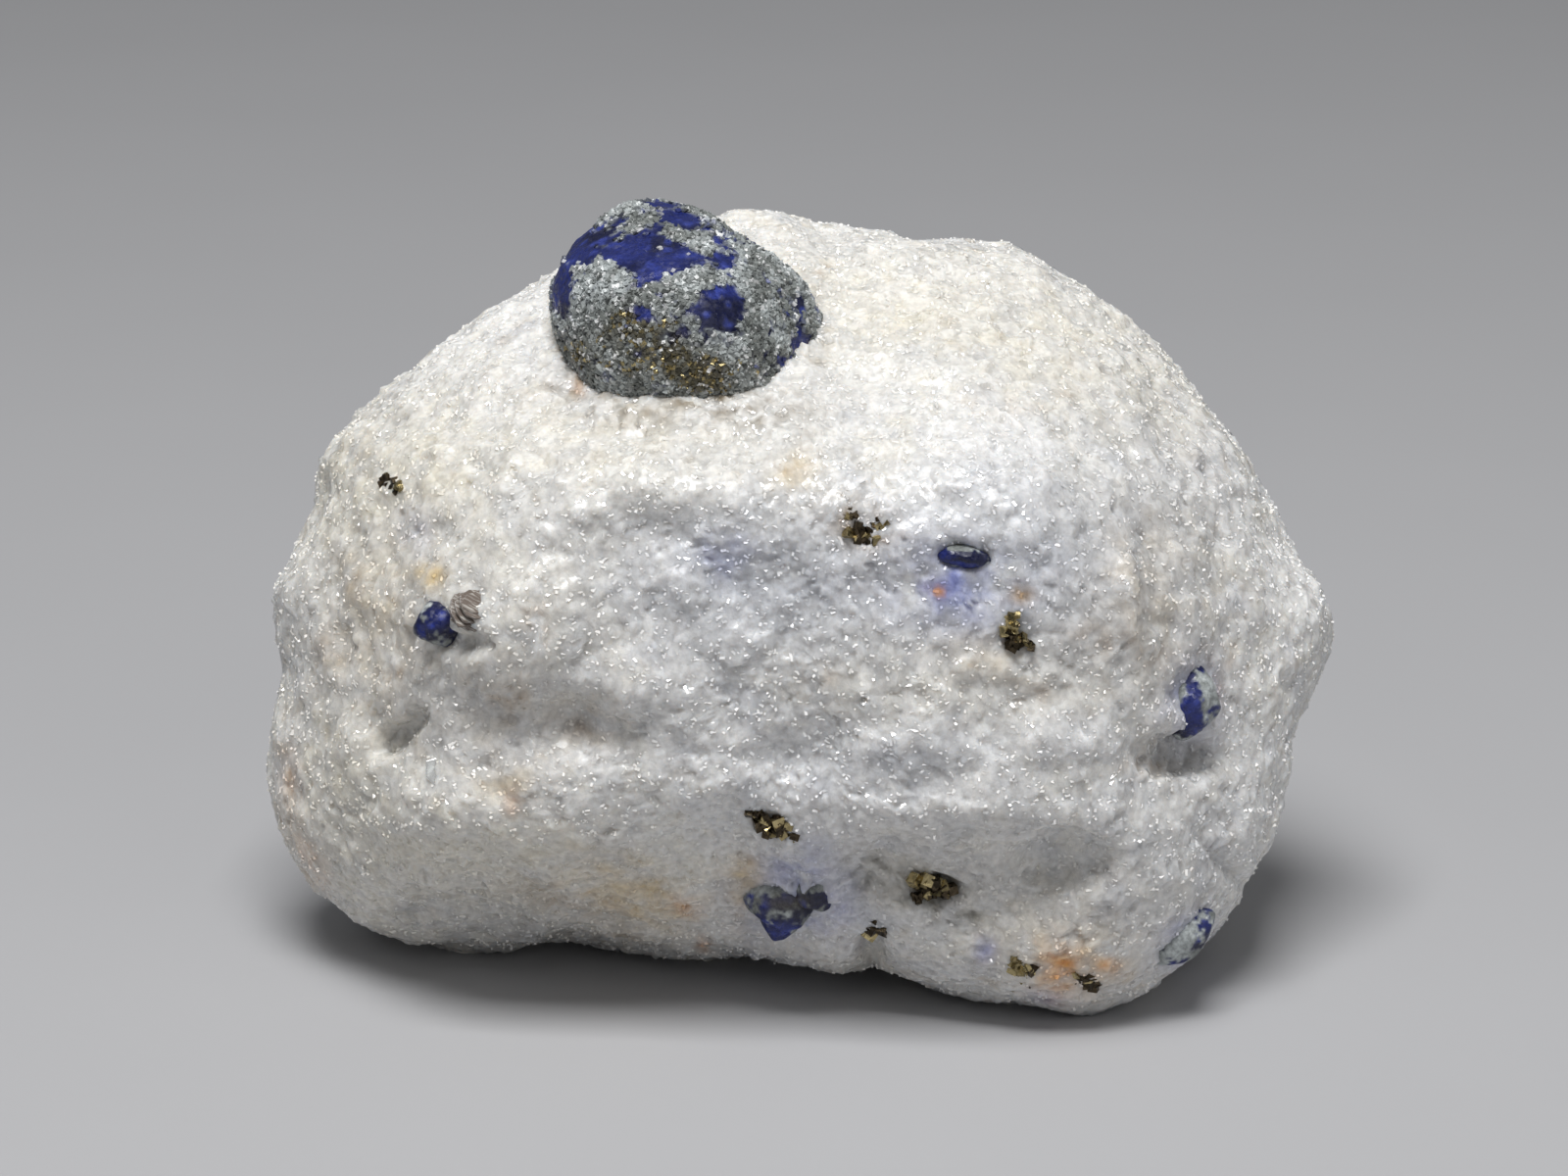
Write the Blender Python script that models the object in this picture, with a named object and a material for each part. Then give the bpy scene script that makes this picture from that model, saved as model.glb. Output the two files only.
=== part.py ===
"""A lazurite crystal standing out of a lump of white marble, with the small
blue, brassy and dark minerals that grew in the same stone.

Lengths are metres and +Z is up. The stone is shaped as it is seen: "across"
runs to the right, "up" runs up and "out" runs towards the viewer, who looks
down on it by VIEW_TILT from VIEW_DISTANCE. The tables hold these in
millimetres, measured from the middle of the view."""

import math
from collections import namedtuple

import bmesh
import bpy
import numpy as np
from mathutils import Euler, Matrix, Vector, noise

MM = 0.001
VIEW_TILT = math.radians(18.0)
VIEW_DISTANCE = 400.0
# The room left between a grain and the marble around it.
GAP = 0.3

Form = namedtuple("Form", "middle roundness outline edge_out front back swells")

# The lower its roundness, the boxier a body is. The outline is how far it
# reaches from its middle, and edge_out how far out that edge lies, both as
# (direction in degrees, length). The front and back are flat faces, each as
# (across, up, out, slope across, slope up), and the swells and hollows of the
# front are each (across, up, half length, half width, turn in degrees, height,
# edge sharpness).
STONE = Form(
    middle=(0.9, -1.5),
    roundness=0.66,
    outline=(
        (-2, 40.3), (6, 38.0), (18, 35.9), (30, 34.2), (42, 32.9), (56, 31.8),
        (70, 29.8), (84, 28.6), (96, 29.8), (110, 29.6), (126, 31.2), (140, 32.6),
        (150, 34.6), (162, 37.4), (168, 37.2), (178, 39.3), (187, 39.1),
        (199, 42.1), (208, 42.0), (217, 39.9), (228, 34.6), (234, 30.8),
        (248, 28.4), (262, 26.5), (276, 27.5), (283, 27.4), (290, 30.4),
        (300, 34.4), (307, 37.6), (318, 39.8), (330, 40.1), (342, 39.0),
        (350, 39.3),
    ),
    edge_out=(
        (0, -5.0), (45, -8.0), (90, -6.0), (135, -4.0), (180, -4.0), (225, -7.0),
        (260, -7.0), (285, 1.0), (305, 5.0), (330, 2.0),
    ),
    front=(
        (0.0, -5.0, 23.0, 0.02, 0.24),
        (0.0, 9.0, 25.0, 0.05, -0.95),
        (-26.0, 8.0, 21.0, 0.75, -0.45),
        (-31.0, -8.0, 17.5, 1.15, 0.1),
        (27.0, -5.0, 21.5, -0.95, 0.15),
        (29.0, 13.0, 15.0, -1.0, -0.75),
        (0.0, -24.0, 19.0, 0.0, 1.0),
    ),
    back=(
        (-6.0, 2.0, -23.5, -0.10, 0.30),
        (20.0, 0.0, -21.0, 0.42, 0.22),
        (-28.0, -2.0, -18.0, -0.70, 0.10),
        (4.0, 18.0, -17.5, 0.10, 0.75),
        (0.0, -16.0, -25.0, 0.05, -0.25),
    ),
    swells=(
        (-10.4, 8.9, 10.4, 4.1, 0, 2.2, 1),
        (-15.7, 15.9, 2.2, 4.0, 0, -1.6, 1),
        (4.6, 19.5, 2.8, 6.5, 15, -1.8, 1),
        (-22.6, -3.6, 6.5, 7.0, 0, 2.2, 1),
        (-21.0, -10.6, 9.5, 3.4, 0, -2.4, 1),
        (-29.9, -11.0, 3.6, 1.4, -37, -1.4, 1),
        (0.6, -12.5, 3.6, 1.8, 0, -1.2, 1),
        (12.2, -17.2, 10.0, 2.2, 5, 1.4, 1),
        (13.5, -22.0, 9.5, 3.4, 0, -3.0, 1),
        (21.1, -20.5, 3.8, 2.4, 20, -1.4, 1),
        (29.6, -21.5, 6.5, 5.5, 0, 2.4, 1),
        (18.5, -29.0, 10.0, 2.4, 0, 2.2, 1),
        (30.2, -12.2, 3.4, 1.8, 0, -1.5, 1),
        (25.9, 0.0, 1.4, 4.5, 0, 1.0, 1),
        (-23.5, -26.2, 8.6, 4.3, -8, -9.0, 2),
    ),
)
CRYSTAL = Form(
    middle=(-7.4, 20.3),
    roundness=0.77,
    outline=(
        (-9, 10.0), (3, 9.8), (17, 9.1), (33, 8.0), (60, 7.4), (75, 7.9),
        (90, 8.4), (105, 9.1), (120, 9.6), (134, 9.8), (146, 10.1), (163, 10.4),
        (182, 9.8), (192, 9.4), (210, 9.5), (231, 9.6), (282, 9.6), (316, 10.2),
        (335, 10.2),
    ),
    edge_out=((0, 9.5), (90, 8.0), (180, 9.5), (270, 10.0)),
    front=(
        (-9.0, 24.0, 20.2, 0.15, -1.7),
        (-8.0, 18.0, 21.0, 0.08, 0.10),
        (-3.3, 20.0, 20.5, -1.05, -0.35),
        (-15.5, 20.0, 20.0, 1.7, -0.1),
        (-7.0, 13.0, 20.5, 0.0, 0.9),
    ),
    back=(
        (-7.4, 20.3, -1.0, 0.0, 0.2),
        (-2.0, 16.0, 0.5, 0.8, -0.5),
        (-13.0, 16.0, 0.5, -0.8, -0.5),
    ),
    swells=(),
)
# How sharp the edges between the flat faces are.
BLEND = 0.45


def cyclic(table, angle):
    """The value of a closed table at each angle, along a smooth curve."""
    knots = np.radians([row[0] for row in table])
    values = np.array([row[1] for row in table], float)
    turn = 2.0 * math.pi
    angle = (angle - knots[0]) % turn + knots[0]
    start = np.searchsorted(knots, angle, side="right") - 1
    wide = np.concatenate([knots[-2:] - turn, knots, knots[:3] + turn])
    tall = np.concatenate([values[-2:], values, values[:3]])
    at = start + 2
    k0, k1, k2, k3 = wide[at - 1], wide[at], wide[at + 1], wide[at + 2]
    v0, v1, v2, v3 = tall[at - 1], tall[at], tall[at + 1], tall[at + 2]
    step = k2 - k1
    part = (angle - k1) / step
    rise_1 = (v2 - v0) / (k2 - k0) * step
    rise_2 = (v3 - v1) / (k3 - k1) * step
    return (
        (2 * part**3 - 3 * part**2 + 1) * v1
        + (part**3 - 2 * part**2 + part) * rise_1
        + (3 * part**2 - 2 * part**3) * v2
        + (part**3 - part**2) * rise_2
    )


def faces_out(table, across, up, side):
    """How far out the blended flat faces lie; side is 1 in front, -1 behind."""
    total = np.zeros_like(across)
    for x, y, out, slope_x, slope_y in table:
        plane = out + slope_x * (across - x) + slope_y * (up - y)
        total += np.exp(-side * BLEND * plane)
    return -side * np.log(total) / BLEND


def swell(swells, across, up):
    """The sum of the swells and hollows of a front."""
    total = np.zeros_like(across)
    for x, y, long, wide, turn, height, sharp in swells:
        c = math.cos(math.radians(turn))
        s = math.sin(math.radians(turn))
        along = ((across - x) * c + (up - y) * s) / long
        over = ((up - y) * c - (across - x) * s) / wide
        total += height * np.exp(-((along**2 + over**2) ** sharp))
    return total


def surface(form, directions, grow=0.0):
    """The skin of a body in each direction, as rows of (across, up, out)."""
    angle = np.arctan2(directions[:, 1], directions[:, 0])
    level = np.hypot(directions[:, 0], directions[:, 1])
    reach = cyclic(form.outline, angle) * level**form.roundness
    across = form.middle[0] + reach * np.cos(angle)
    up = form.middle[1] + reach * np.sin(angle)
    edge = cyclic(form.edge_out, angle)
    front = faces_out(form.front, across, up, 1) + swell(form.swells, across, up)
    back = faces_out(form.back, across, up, -1)
    full = np.where(directions[:, 2] > 0, front, back)
    out = edge + (full - edge) * np.abs(directions[:, 2]) ** form.roundness
    nearer = 1.0 - out / VIEW_DISTANCE
    skin = np.stack([across * nearer, up * nearer, out], axis=1)
    return skin + directions * grow


def skin_under(across, up):
    """The point of the stone's front seen at a place of the view."""
    x = across - STONE.middle[0]
    y = up - STONE.middle[1]
    angle = math.atan2(y, x)
    ratio = math.hypot(x, y) / cyclic(STONE.outline, np.array([angle]))[0]
    level = min(ratio, 1.0) ** (1.0 / STONE.roundness)
    direction = (
        level * math.cos(angle), level * math.sin(angle), math.sqrt(1.0 - level**2)
    )
    return Vector(surface(STONE, np.array([direction]))[0])


# The twelve faces of a dodecahedron, which the blue grains are rounded from.
DODECAHEDRON = (
    (1, 1, 0), (1, -1, 0), (-1, 1, 0), (-1, -1, 0), (1, 0, 1), (1, 0, -1),
    (-1, 0, 1), (-1, 0, -1), (0, 1, 1), (0, 1, -1), (0, -1, 1), (0, -1, -1),
)
GRAIN_EDGES = 7.0

# Blue grains, each a name and its rounded crystals as
# (across, up, sunk, half width, half height, half depth, turn in degrees).
BLUE_GRAINS = (
    ("lazurite_grain_left", ((-26.0, -2.6, 0.5, 1.7, 1.5, 1.5, 20),)),
    ("lazurite_grain_centre", ((13.5, 2.4, 0.6, 1.8, 0.8, 1.1, -8),)),
    ("lazurite_grain_right", ((30.6, -8.6, 1.1, 2.1, 2.5, 2.1, -12),)),
    ("lazurite_grain_lower", (
        (0.0, -23.3, 1.0, 2.6, 2.3, 1.8, 10),
        (2.4, -22.8, 0.8, 1.6, 1.5, 1.3, 40),
        (-0.3, -25.0, -0.2, 1.4, 1.3, 1.5, 75),
    )),
    ("lazurite_grain_edge", ((30.0, -26.4, 1.1, 2.7, 1.6, 1.6, 38),)),
)
# Pyrite clusters, each a name and its cubes as (across, up, edge).
PYRITE = (
    ("pyrite_specks_left", ((-30.0, 8.0, 1.2), (-29.5, 7.6, 1.1))),
    ("pyrite_cluster_upper", (
        (5.1, 5.8, 1.3), (6.0, 5.0, 1.6), (6.3, 4.1, 1.3),
    )),
    ("pyrite_cluster_centre", (
        (17.0, -2.7, 1.2), (17.0, -3.7, 1.4), (17.8, -4.2, 1.4), (18.5, -3.8, 1.0),
    )),
    ("pyrite_cluster_ledge", (
        (-1.8, -17.5, 1.4), (-1.0, -17.9, 1.6), (-0.1, -18.4, 1.7), (0.4, -19.0, 1.2),
    )),
    ("pyrite_cluster_hollow", (
        (10.4, -22.8, 1.5), (11.4, -22.5, 1.7), (12.4, -22.7, 1.4),
    )),
    ("pyrite_grain_dark", ((6.5, -25.4, 1.5),)),
    ("pyrite_cluster_base", (
        (17.8, -28.4, 1.4), (18.4, -28.9, 1.6), (18.1, -29.5, 1.4),
    )),
    ("pyrite_cluster_base_right", (
        (22.0, -28.8, 1.5), (22.7, -29.2, 1.7), (23.4, -29.0, 1.5),
    )),
)
CUBE_SUNK = 0.3

# Mica plates, each as (across, up, sunk, half width, half height, turn).
MICA_LEAN = (-24.0, 22.0)
MICA_PLATE = 0.55
MICA_PLATES = (
    (-23.4, -1.7, 1.1, 2.1, 1.7, 10),
    (-23.6, -1.5, 0.6, 1.9, 1.5, 35),
    (-23.2, -1.3, 0.1, 1.5, 1.2, -15),
)
FLAKE_AT = (-25.8, -14.0)
FLAKE_CORNERS = (
    (-1.2, 0.9), (-0.1, 1.2), (0.7, 0.7), (1.15, -0.1), (1.1, -0.8),
    (0.5, -1.1), (-0.6, -1.0), (-1.2, -0.3),
)
FLAKE_THICKNESS = 0.45
FLAKE_LEAN = (-12.0, 8.0)
FLAKE_SUNK = 0.05

# How often each ball is divided. The large crystal's socket is coarser than
# the crystal, so its room is wider.
STONE_DIVISIONS = 5
CRYSTAL_DIVISIONS = 4
SOCKET_DIVISIONS = 3
SOCKET_GAP = 0.45
GRAIN_DIVISIONS = 2
# The height of the flat base below the middle of the view.
BOTTOM = -28.6
# The uneven waves of the broken marble.
WAVE_HEIGHT = 0.55
WAVE_LENGTH = 9.0
# Each material is (name, colour, roughness, metallic).

MARBLE = ("marble", (0.84, 0.83, 0.80), 0.55, 0.0)
LAZURITE = ("lazurite", (0.03, 0.04, 0.30), 0.45, 0.0)
MICA = ("mica", (0.20, 0.17, 0.14), 0.30, 0.0)
FLAKE = ("bright_mica", (0.90, 0.90, 0.88), 0.12, 0.0)
BRASSY = ("pyrite", (0.42, 0.33, 0.16), 0.35, 1.0)
DARK = ("dark_pyrite", (0.10, 0.07, 0.05), 0.35, 0.6)


def clear_scene():
    for thing in list(bpy.data.objects):
        bpy.data.objects.remove(thing, do_unlink=True)


def material(kind):
    """The material of a kind, made the first time it is asked for."""
    name, colour, roughness, metallic = kind
    made = bpy.data.materials.get(name)
    if made is None:
        made = bpy.data.materials.new(name)
        made.use_nodes = True
        shader = made.node_tree.nodes["Principled BSDF"]
        shader.inputs["Base Color"].default_value = (*colour, 1.0)
        shader.inputs["Roughness"].default_value = roughness
        shader.inputs["Metallic"].default_value = metallic
    return made


def to_world():
    """The turn from (across, up, out) in millimetres to metres with +Z up."""
    c = math.cos(VIEW_TILT) * MM
    s = math.sin(VIEW_TILT) * MM
    return Matrix(((MM, 0, 0, 0), (0, s, -c, 0), (0, c, s, 0), (0, 0, 0, 1)))


def add_body(name, bm, kind):
    """A new object from a mesh given in (across, up, out) millimetres."""
    bmesh.ops.recalc_face_normals(bm, faces=bm.faces)
    bm.transform(to_world())
    mesh = bpy.data.meshes.new(name)
    bm.to_mesh(mesh)
    bm.free()
    body = bpy.data.objects.new(name, mesh)
    bpy.context.collection.objects.link(body)
    mesh.materials.append(material(kind))
    return body


def combine(body, tools, operation):
    """Adds the tools to the body or cuts them out of it, then drops them."""
    group = bpy.data.collections.new("tools")
    bpy.context.scene.collection.children.link(group)
    for tool in tools:
        tool.hide_render = True
        tool.display_type = "WIRE"
        for home in list(tool.users_collection):
            home.objects.unlink(tool)
        group.objects.link(tool)
    step = body.modifiers.new("combine", "BOOLEAN")
    step.operation = operation
    step.solver = "EXACT"
    step.operand_type = "COLLECTION"
    step.collection = group
    state = bpy.context.evaluated_depsgraph_get()
    mesh = bpy.data.meshes.new_from_object(body.evaluated_get(state))
    body.modifiers.clear()
    body.data = mesh
    for tool in tools:
        bpy.data.objects.remove(tool, do_unlink=True)
    bpy.data.collections.remove(group)
    return body


def place(bm, points):
    for vert, point in zip(bm.verts, points, strict=True):
        vert.co = point


def rounded_body(name, form, divisions, grow, kind):
    """A body of the given form, from a ball whose skin is drawn out to it."""
    bm = bmesh.new()
    bmesh.ops.create_icosphere(bm, subdivisions=divisions, radius=1.0)
    directions = np.array([vert.co.normalized() for vert in bm.verts])
    place(bm, surface(form, directions, grow))
    return add_body(name, bm, kind)


def add_stone():
    """The marble lump, cut flat underneath where it rests."""
    bm = bmesh.new()
    bmesh.ops.create_icosphere(bm, subdivisions=STONE_DIVISIONS, radius=1.0)
    directions = np.array([vert.co.normalized() for vert in bm.verts])
    points = surface(STONE, directions)
    for row, direction in zip(points, directions, strict=True):
        row += direction * WAVE_HEIGHT * noise.noise(Vector(row) / WAVE_LENGTH)
    place(bm, points)
    up_world = Vector((0.0, math.cos(VIEW_TILT), math.sin(VIEW_TILT)))
    bmesh.ops.bisect_plane(
        bm, geom=bm.verts[:] + bm.edges[:] + bm.faces[:], dist=1e-5,
        plane_co=up_world * BOTTOM, plane_no=up_world, clear_inner=True,
    )
    rim = [edge for edge in bm.edges if edge.is_boundary]
    bmesh.ops.contextual_create(bm, geom=rim)
    return add_body("marble_matrix", bm, MARBLE)


def grain_body(at, half_size, turn, grow):
    """A dodecahedron with rounded edges, turned in the plane of the view."""
    normals = np.array([Vector(face).normalized() for face in DODECAHEDRON])
    bm = bmesh.new()
    bmesh.ops.create_icosphere(bm, subdivisions=GRAIN_DIVISIONS, radius=1.0)
    directions = np.array([vert.co.normalized() for vert in bm.verts])
    facing = np.maximum(directions @ normals.T, 0.0)
    reach = (facing**GRAIN_EDGES).sum(axis=1) ** (-1.0 / GRAIN_EDGES)
    place(bm, directions * reach[:, None] * (np.array(half_size) + grow))
    spin = Matrix.Rotation(math.radians(turn), 4, "Z")
    bm.transform(Matrix.Translation(at) @ spin)
    return add_body("grain", bm, LAZURITE)


def grain_parts(crystals, grow):
    """The rounded crystals of one blue grain, as separate bodies."""
    bodies = []
    for x, y, sunk, wide, tall, deep, turn in crystals:
        at = skin_under(x, y) - Vector((0.0, 0.0, sunk))
        bodies.append(grain_body(at, (wide, tall, deep), turn, grow))
    return bodies


def cube_parts(cubes, grow):
    """The cubes of one pyrite cluster, each turned its own way."""
    bodies = []
    for number, (x, y, edge) in enumerate(cubes):
        at = skin_under(x, y) - Vector((0.0, 0.0, CUBE_SUNK * edge))
        turn = Euler((0.6 + 1.3 * number, 0.4 + 0.9 * number, 0.5 * number))
        bm = bmesh.new()
        bmesh.ops.create_cube(bm, size=edge + 2.0 * grow)
        bm.transform(Matrix.Translation(at) @ turn.to_matrix().to_4x4())
        bodies.append(add_body("cube", bm, BRASSY))
    return bodies


def plate(at, corners, thickness, turn, lean, grow, kind):
    """A flat plate with the given corners, grown on every side by grow."""
    bm = bmesh.new()
    middle = sum((Vector(corner) for corner in corners), Vector((0, 0)))
    middle /= len(corners)
    verts = []
    for corner in corners:
        side = Vector(corner) - middle
        side *= (side.length + grow) / side.length
        verts.append(bm.verts.new((*(middle + side), -thickness / 2 - grow)))
    face = bm.faces.new(verts)
    top = bmesh.ops.extrude_face_region(bm, geom=[face])
    risen = [part for part in top["geom"] if isinstance(part, bmesh.types.BMVert)]
    bmesh.ops.translate(bm, verts=risen, vec=(0, 0, thickness + 2.0 * grow))
    angles = (math.radians(lean[0]), math.radians(lean[1]), math.radians(turn))
    bm.transform(Matrix.Translation(at) @ Euler(angles).to_matrix().to_4x4())
    return add_body("plate", bm, kind)


def mica_parts(grow):
    """The stacked plates of the dark mica, as separate bodies."""
    bodies = []
    for x, y, sunk, wide, tall, turn in MICA_PLATES:
        corners = [
            (wide * math.cos(math.radians(60 * k)), tall * math.sin(math.radians(60 * k)))
            for k in range(6)
        ]
        at = skin_under(x, y) - Vector((0.0, 0.0, sunk))
        bodies.append(plate(at, corners, MICA_PLATE, turn, MICA_LEAN, grow, MICA))
    return bodies


def flake_part(grow):
    at = skin_under(*FLAKE_AT) - Vector((0.0, 0.0, FLAKE_SUNK))
    return [plate(at, FLAKE_CORNERS, FLAKE_THICKNESS, 0.0, FLAKE_LEAN, grow, FLAKE)]


def finish(name, bodies, kind=None):
    """One named body from overlapping ones."""
    body = bodies[0]
    if len(bodies) > 1:
        combine(body, bodies[1:], "UNION")
    body.name = name
    body.data.name = name
    if kind:
        body.data.materials.clear()
        body.data.materials.append(material(kind))
    return body


def settle(bodies):
    """Moves all the bodies so that the middle of the flat base is the origin."""
    points = np.array([vert.co for body in bodies for vert in body.data.vertices])
    low = points.min(axis=0)
    high = points.max(axis=0)
    middle = (low + high) / 2.0
    for body in bodies:
        body.data.transform(Matrix.Translation((-middle[0], -middle[1], -low[2])))


def main():
    clear_scene()
    stone = add_stone()
    bodies = [
        rounded_body("lazurite_crystal", CRYSTAL, CRYSTAL_DIVISIONS, 0.0, LAZURITE)
    ]
    sockets = [
        [rounded_body("socket", CRYSTAL, SOCKET_DIVISIONS, SOCKET_GAP, LAZURITE)]
    ]
    for name, crystals in BLUE_GRAINS:
        bodies.append(finish(name, grain_parts(crystals, 0.0)))
        sockets.append(grain_parts(crystals, GAP))
    for name, cubes in PYRITE:
        kind = DARK if name == "pyrite_grain_dark" else BRASSY
        bodies.append(finish(name, cube_parts(cubes, 0.0), kind))
        sockets.append(cube_parts(cubes, GAP))
    bodies.append(finish("mica_book_left", mica_parts(0.0)))
    sockets.append(mica_parts(GAP))
    bodies.append(finish("mica_flake_bright", flake_part(0.0)))
    sockets.append(flake_part(GAP))
    for parts in sockets:
        combine(stone, [finish("socket", parts)], "DIFFERENCE")
    settle([stone, *bodies])


main()
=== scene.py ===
"""The looks of a lazurite crystal in a lump of white marble, around its packed
solids: the granular marble, the coated blue crystal, the small blue grains, the
pyrite, the mica and the flake that flashes.

Shapes are worked out in millimetres as they are seen: "across" runs to the
right, "up" runs up and "out" runs towards the viewer, who looks down on the
stone by VIEW_TILT from VIEW_DISTANCE. Marks on the stone are placed in steps of
the view, which is 1600 steps wide and 1200 steps high from its top left."""

import math
from collections import namedtuple

import bmesh
import bpy
import numpy as np
from bpy.props import FloatProperty, FloatVectorProperty, IntProperty, PointerProperty
from mathutils import Matrix, Vector, kdtree, noise


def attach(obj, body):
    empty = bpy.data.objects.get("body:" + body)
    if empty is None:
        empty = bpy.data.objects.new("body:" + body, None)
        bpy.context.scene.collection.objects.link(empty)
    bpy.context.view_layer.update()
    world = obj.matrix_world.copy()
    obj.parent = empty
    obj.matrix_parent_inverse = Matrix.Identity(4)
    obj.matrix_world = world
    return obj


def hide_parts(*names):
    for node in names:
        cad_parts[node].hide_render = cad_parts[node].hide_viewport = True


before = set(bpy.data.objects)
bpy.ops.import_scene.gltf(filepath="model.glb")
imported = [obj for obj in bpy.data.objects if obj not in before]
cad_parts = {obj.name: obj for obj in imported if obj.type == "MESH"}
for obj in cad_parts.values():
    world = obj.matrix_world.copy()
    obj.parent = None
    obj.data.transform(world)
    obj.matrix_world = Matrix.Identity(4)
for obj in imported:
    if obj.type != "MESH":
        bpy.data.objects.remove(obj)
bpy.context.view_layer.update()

bl_info = {
    "name": "Lazurite in Marble",
    "version": (1, 0, 0),
    "blender": (4, 5, 0),
    "location": "3D View > Sidebar > Mineral",
    "description": "Makes a blue lazurite crystal in a lump of granular white marble",
    "category": "Add Mesh",
}

MM = 0.001
# One step of the view, in millimetres on the plane through its middle.
STEP = 0.074
VIEW_MIDDLE = (800.0, 600.0)
VIEW_TILT = math.radians(18.0)
VIEW_DISTANCE = 400.0
# Where the middle of the view lies in the frame of the solids, in millimetres.
VIEW_AT = (-1.2191, 0.4995, 28.6)
# The height of the flat base, from the middle of the view.
BOTTOM = -VIEW_AT[2]
# The direction in which a face must look to send the key light to the viewer.
GLINT_TO = (-0.04, 0.433, 0.90)

Form = namedtuple("Form", "middle roundness outline edge_out front back swells")

# The lower its roundness, the boxier a body is. The outline is how far it
# reaches from its middle, and edge_out how far out that edge lies, both as
# (direction in degrees, length). The front and back are flat faces, each as
# (across, up, out, slope across, slope up), and the swells and hollows of the
# front are each (across, up, half length, half width, turn in degrees, height,
# edge sharpness).
STONE = Form(
    middle=(0.9, -1.5),
    roundness=0.66,
    outline=(
        (-2, 40.3), (6, 38.0), (18, 35.9), (30, 34.2), (42, 32.9), (56, 31.8),
        (70, 29.8), (84, 28.6), (96, 29.8), (110, 29.6), (126, 31.2), (140, 32.6),
        (150, 34.6), (162, 37.4), (168, 37.2), (178, 39.3), (187, 39.1),
        (199, 42.1), (208, 42.0), (217, 39.9), (228, 34.6), (234, 30.8),
        (248, 28.4), (262, 26.5), (276, 27.5), (283, 27.4), (290, 30.4),
        (300, 34.4), (307, 37.6), (318, 39.8), (330, 40.1), (342, 39.0),
        (350, 39.3),
    ),
    edge_out=(
        (0, -5.0), (45, -8.0), (90, -6.0), (135, -4.0), (180, -4.0), (225, -7.0),
        (260, -7.0), (285, 1.0), (305, 5.0), (330, 2.0),
    ),
    front=(
        (0.0, -5.0, 23.0, 0.02, 0.24),
        (0.0, 9.0, 25.0, 0.05, -0.95),
        (-26.0, 8.0, 21.0, 0.75, -0.45),
        (-31.0, -8.0, 17.5, 1.15, 0.1),
        (27.0, -5.0, 21.5, -0.95, 0.15),
        (29.0, 13.0, 15.0, -1.0, -0.75),
        (0.0, -24.0, 19.0, 0.0, 1.0),
    ),
    back=(
        (-6.0, 2.0, -23.5, -0.10, 0.30),
        (20.0, 0.0, -21.0, 0.42, 0.22),
        (-28.0, -2.0, -18.0, -0.70, 0.10),
        (4.0, 18.0, -17.5, 0.10, 0.75),
        (0.0, -16.0, -25.0, 0.05, -0.25),
    ),
    swells=(
        (-10.4, 8.9, 10.4, 4.1, 0, 2.2, 1),
        (-15.7, 15.9, 2.2, 4.0, 0, -1.6, 1),
        (4.6, 19.5, 2.8, 6.5, 15, -1.8, 1),
        (-22.6, -3.6, 6.5, 7.0, 0, 2.2, 1),
        (-21.0, -10.6, 9.5, 3.4, 0, -2.4, 1),
        (-29.9, -11.0, 3.6, 1.4, -37, -1.4, 1),
        (0.6, -12.5, 3.6, 1.8, 0, -1.2, 1),
        (12.2, -17.2, 10.0, 2.2, 5, 1.4, 1),
        (13.5, -22.0, 9.5, 3.4, 0, -3.0, 1),
        (21.1, -20.5, 3.8, 2.4, 20, -1.4, 1),
        (29.6, -21.5, 6.5, 5.5, 0, 2.4, 1),
        (18.5, -29.0, 10.0, 2.4, 0, 2.2, 1),
        (30.2, -12.2, 3.4, 1.8, 0, -1.5, 1),
        (25.9, 0.0, 1.4, 4.5, 0, 1.0, 1),
        (-23.5, -26.2, 8.6, 4.3, -8, -9.0, 2),
    ),
)
CRYSTAL = Form(
    middle=(-7.4, 20.3),
    roundness=0.77,
    outline=(
        (-9, 10.0), (3, 9.8), (17, 9.1), (33, 8.0), (60, 7.4), (75, 7.9),
        (90, 8.4), (105, 9.1), (120, 9.6), (134, 9.8), (146, 10.1), (163, 10.4),
        (182, 9.8), (192, 9.4), (210, 9.5), (231, 9.6), (282, 9.6), (316, 10.2),
        (335, 10.2),
    ),
    edge_out=((0, 9.5), (90, 8.0), (180, 9.5), (270, 10.0)),
    front=(
        (-9.0, 24.0, 20.2, 0.15, -1.7),
        (-8.0, 18.0, 21.0, 0.08, 0.10),
        (-3.3, 20.0, 20.5, -1.05, -0.35),
        (-15.5, 20.0, 20.0, 1.7, -0.1),
        (-7.0, 13.0, 20.5, 0.0, 0.9),
    ),
    back=(
        (-7.4, 20.3, -1.0, 0.0, 0.2),
        (-2.0, 16.0, 0.5, 0.8, -0.5),
        (-13.0, 16.0, 0.5, -0.8, -0.5),
    ),
    swells=(),
)
# How sharply the flat faces of a form run into each other.
BLEND = 0.45

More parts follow.
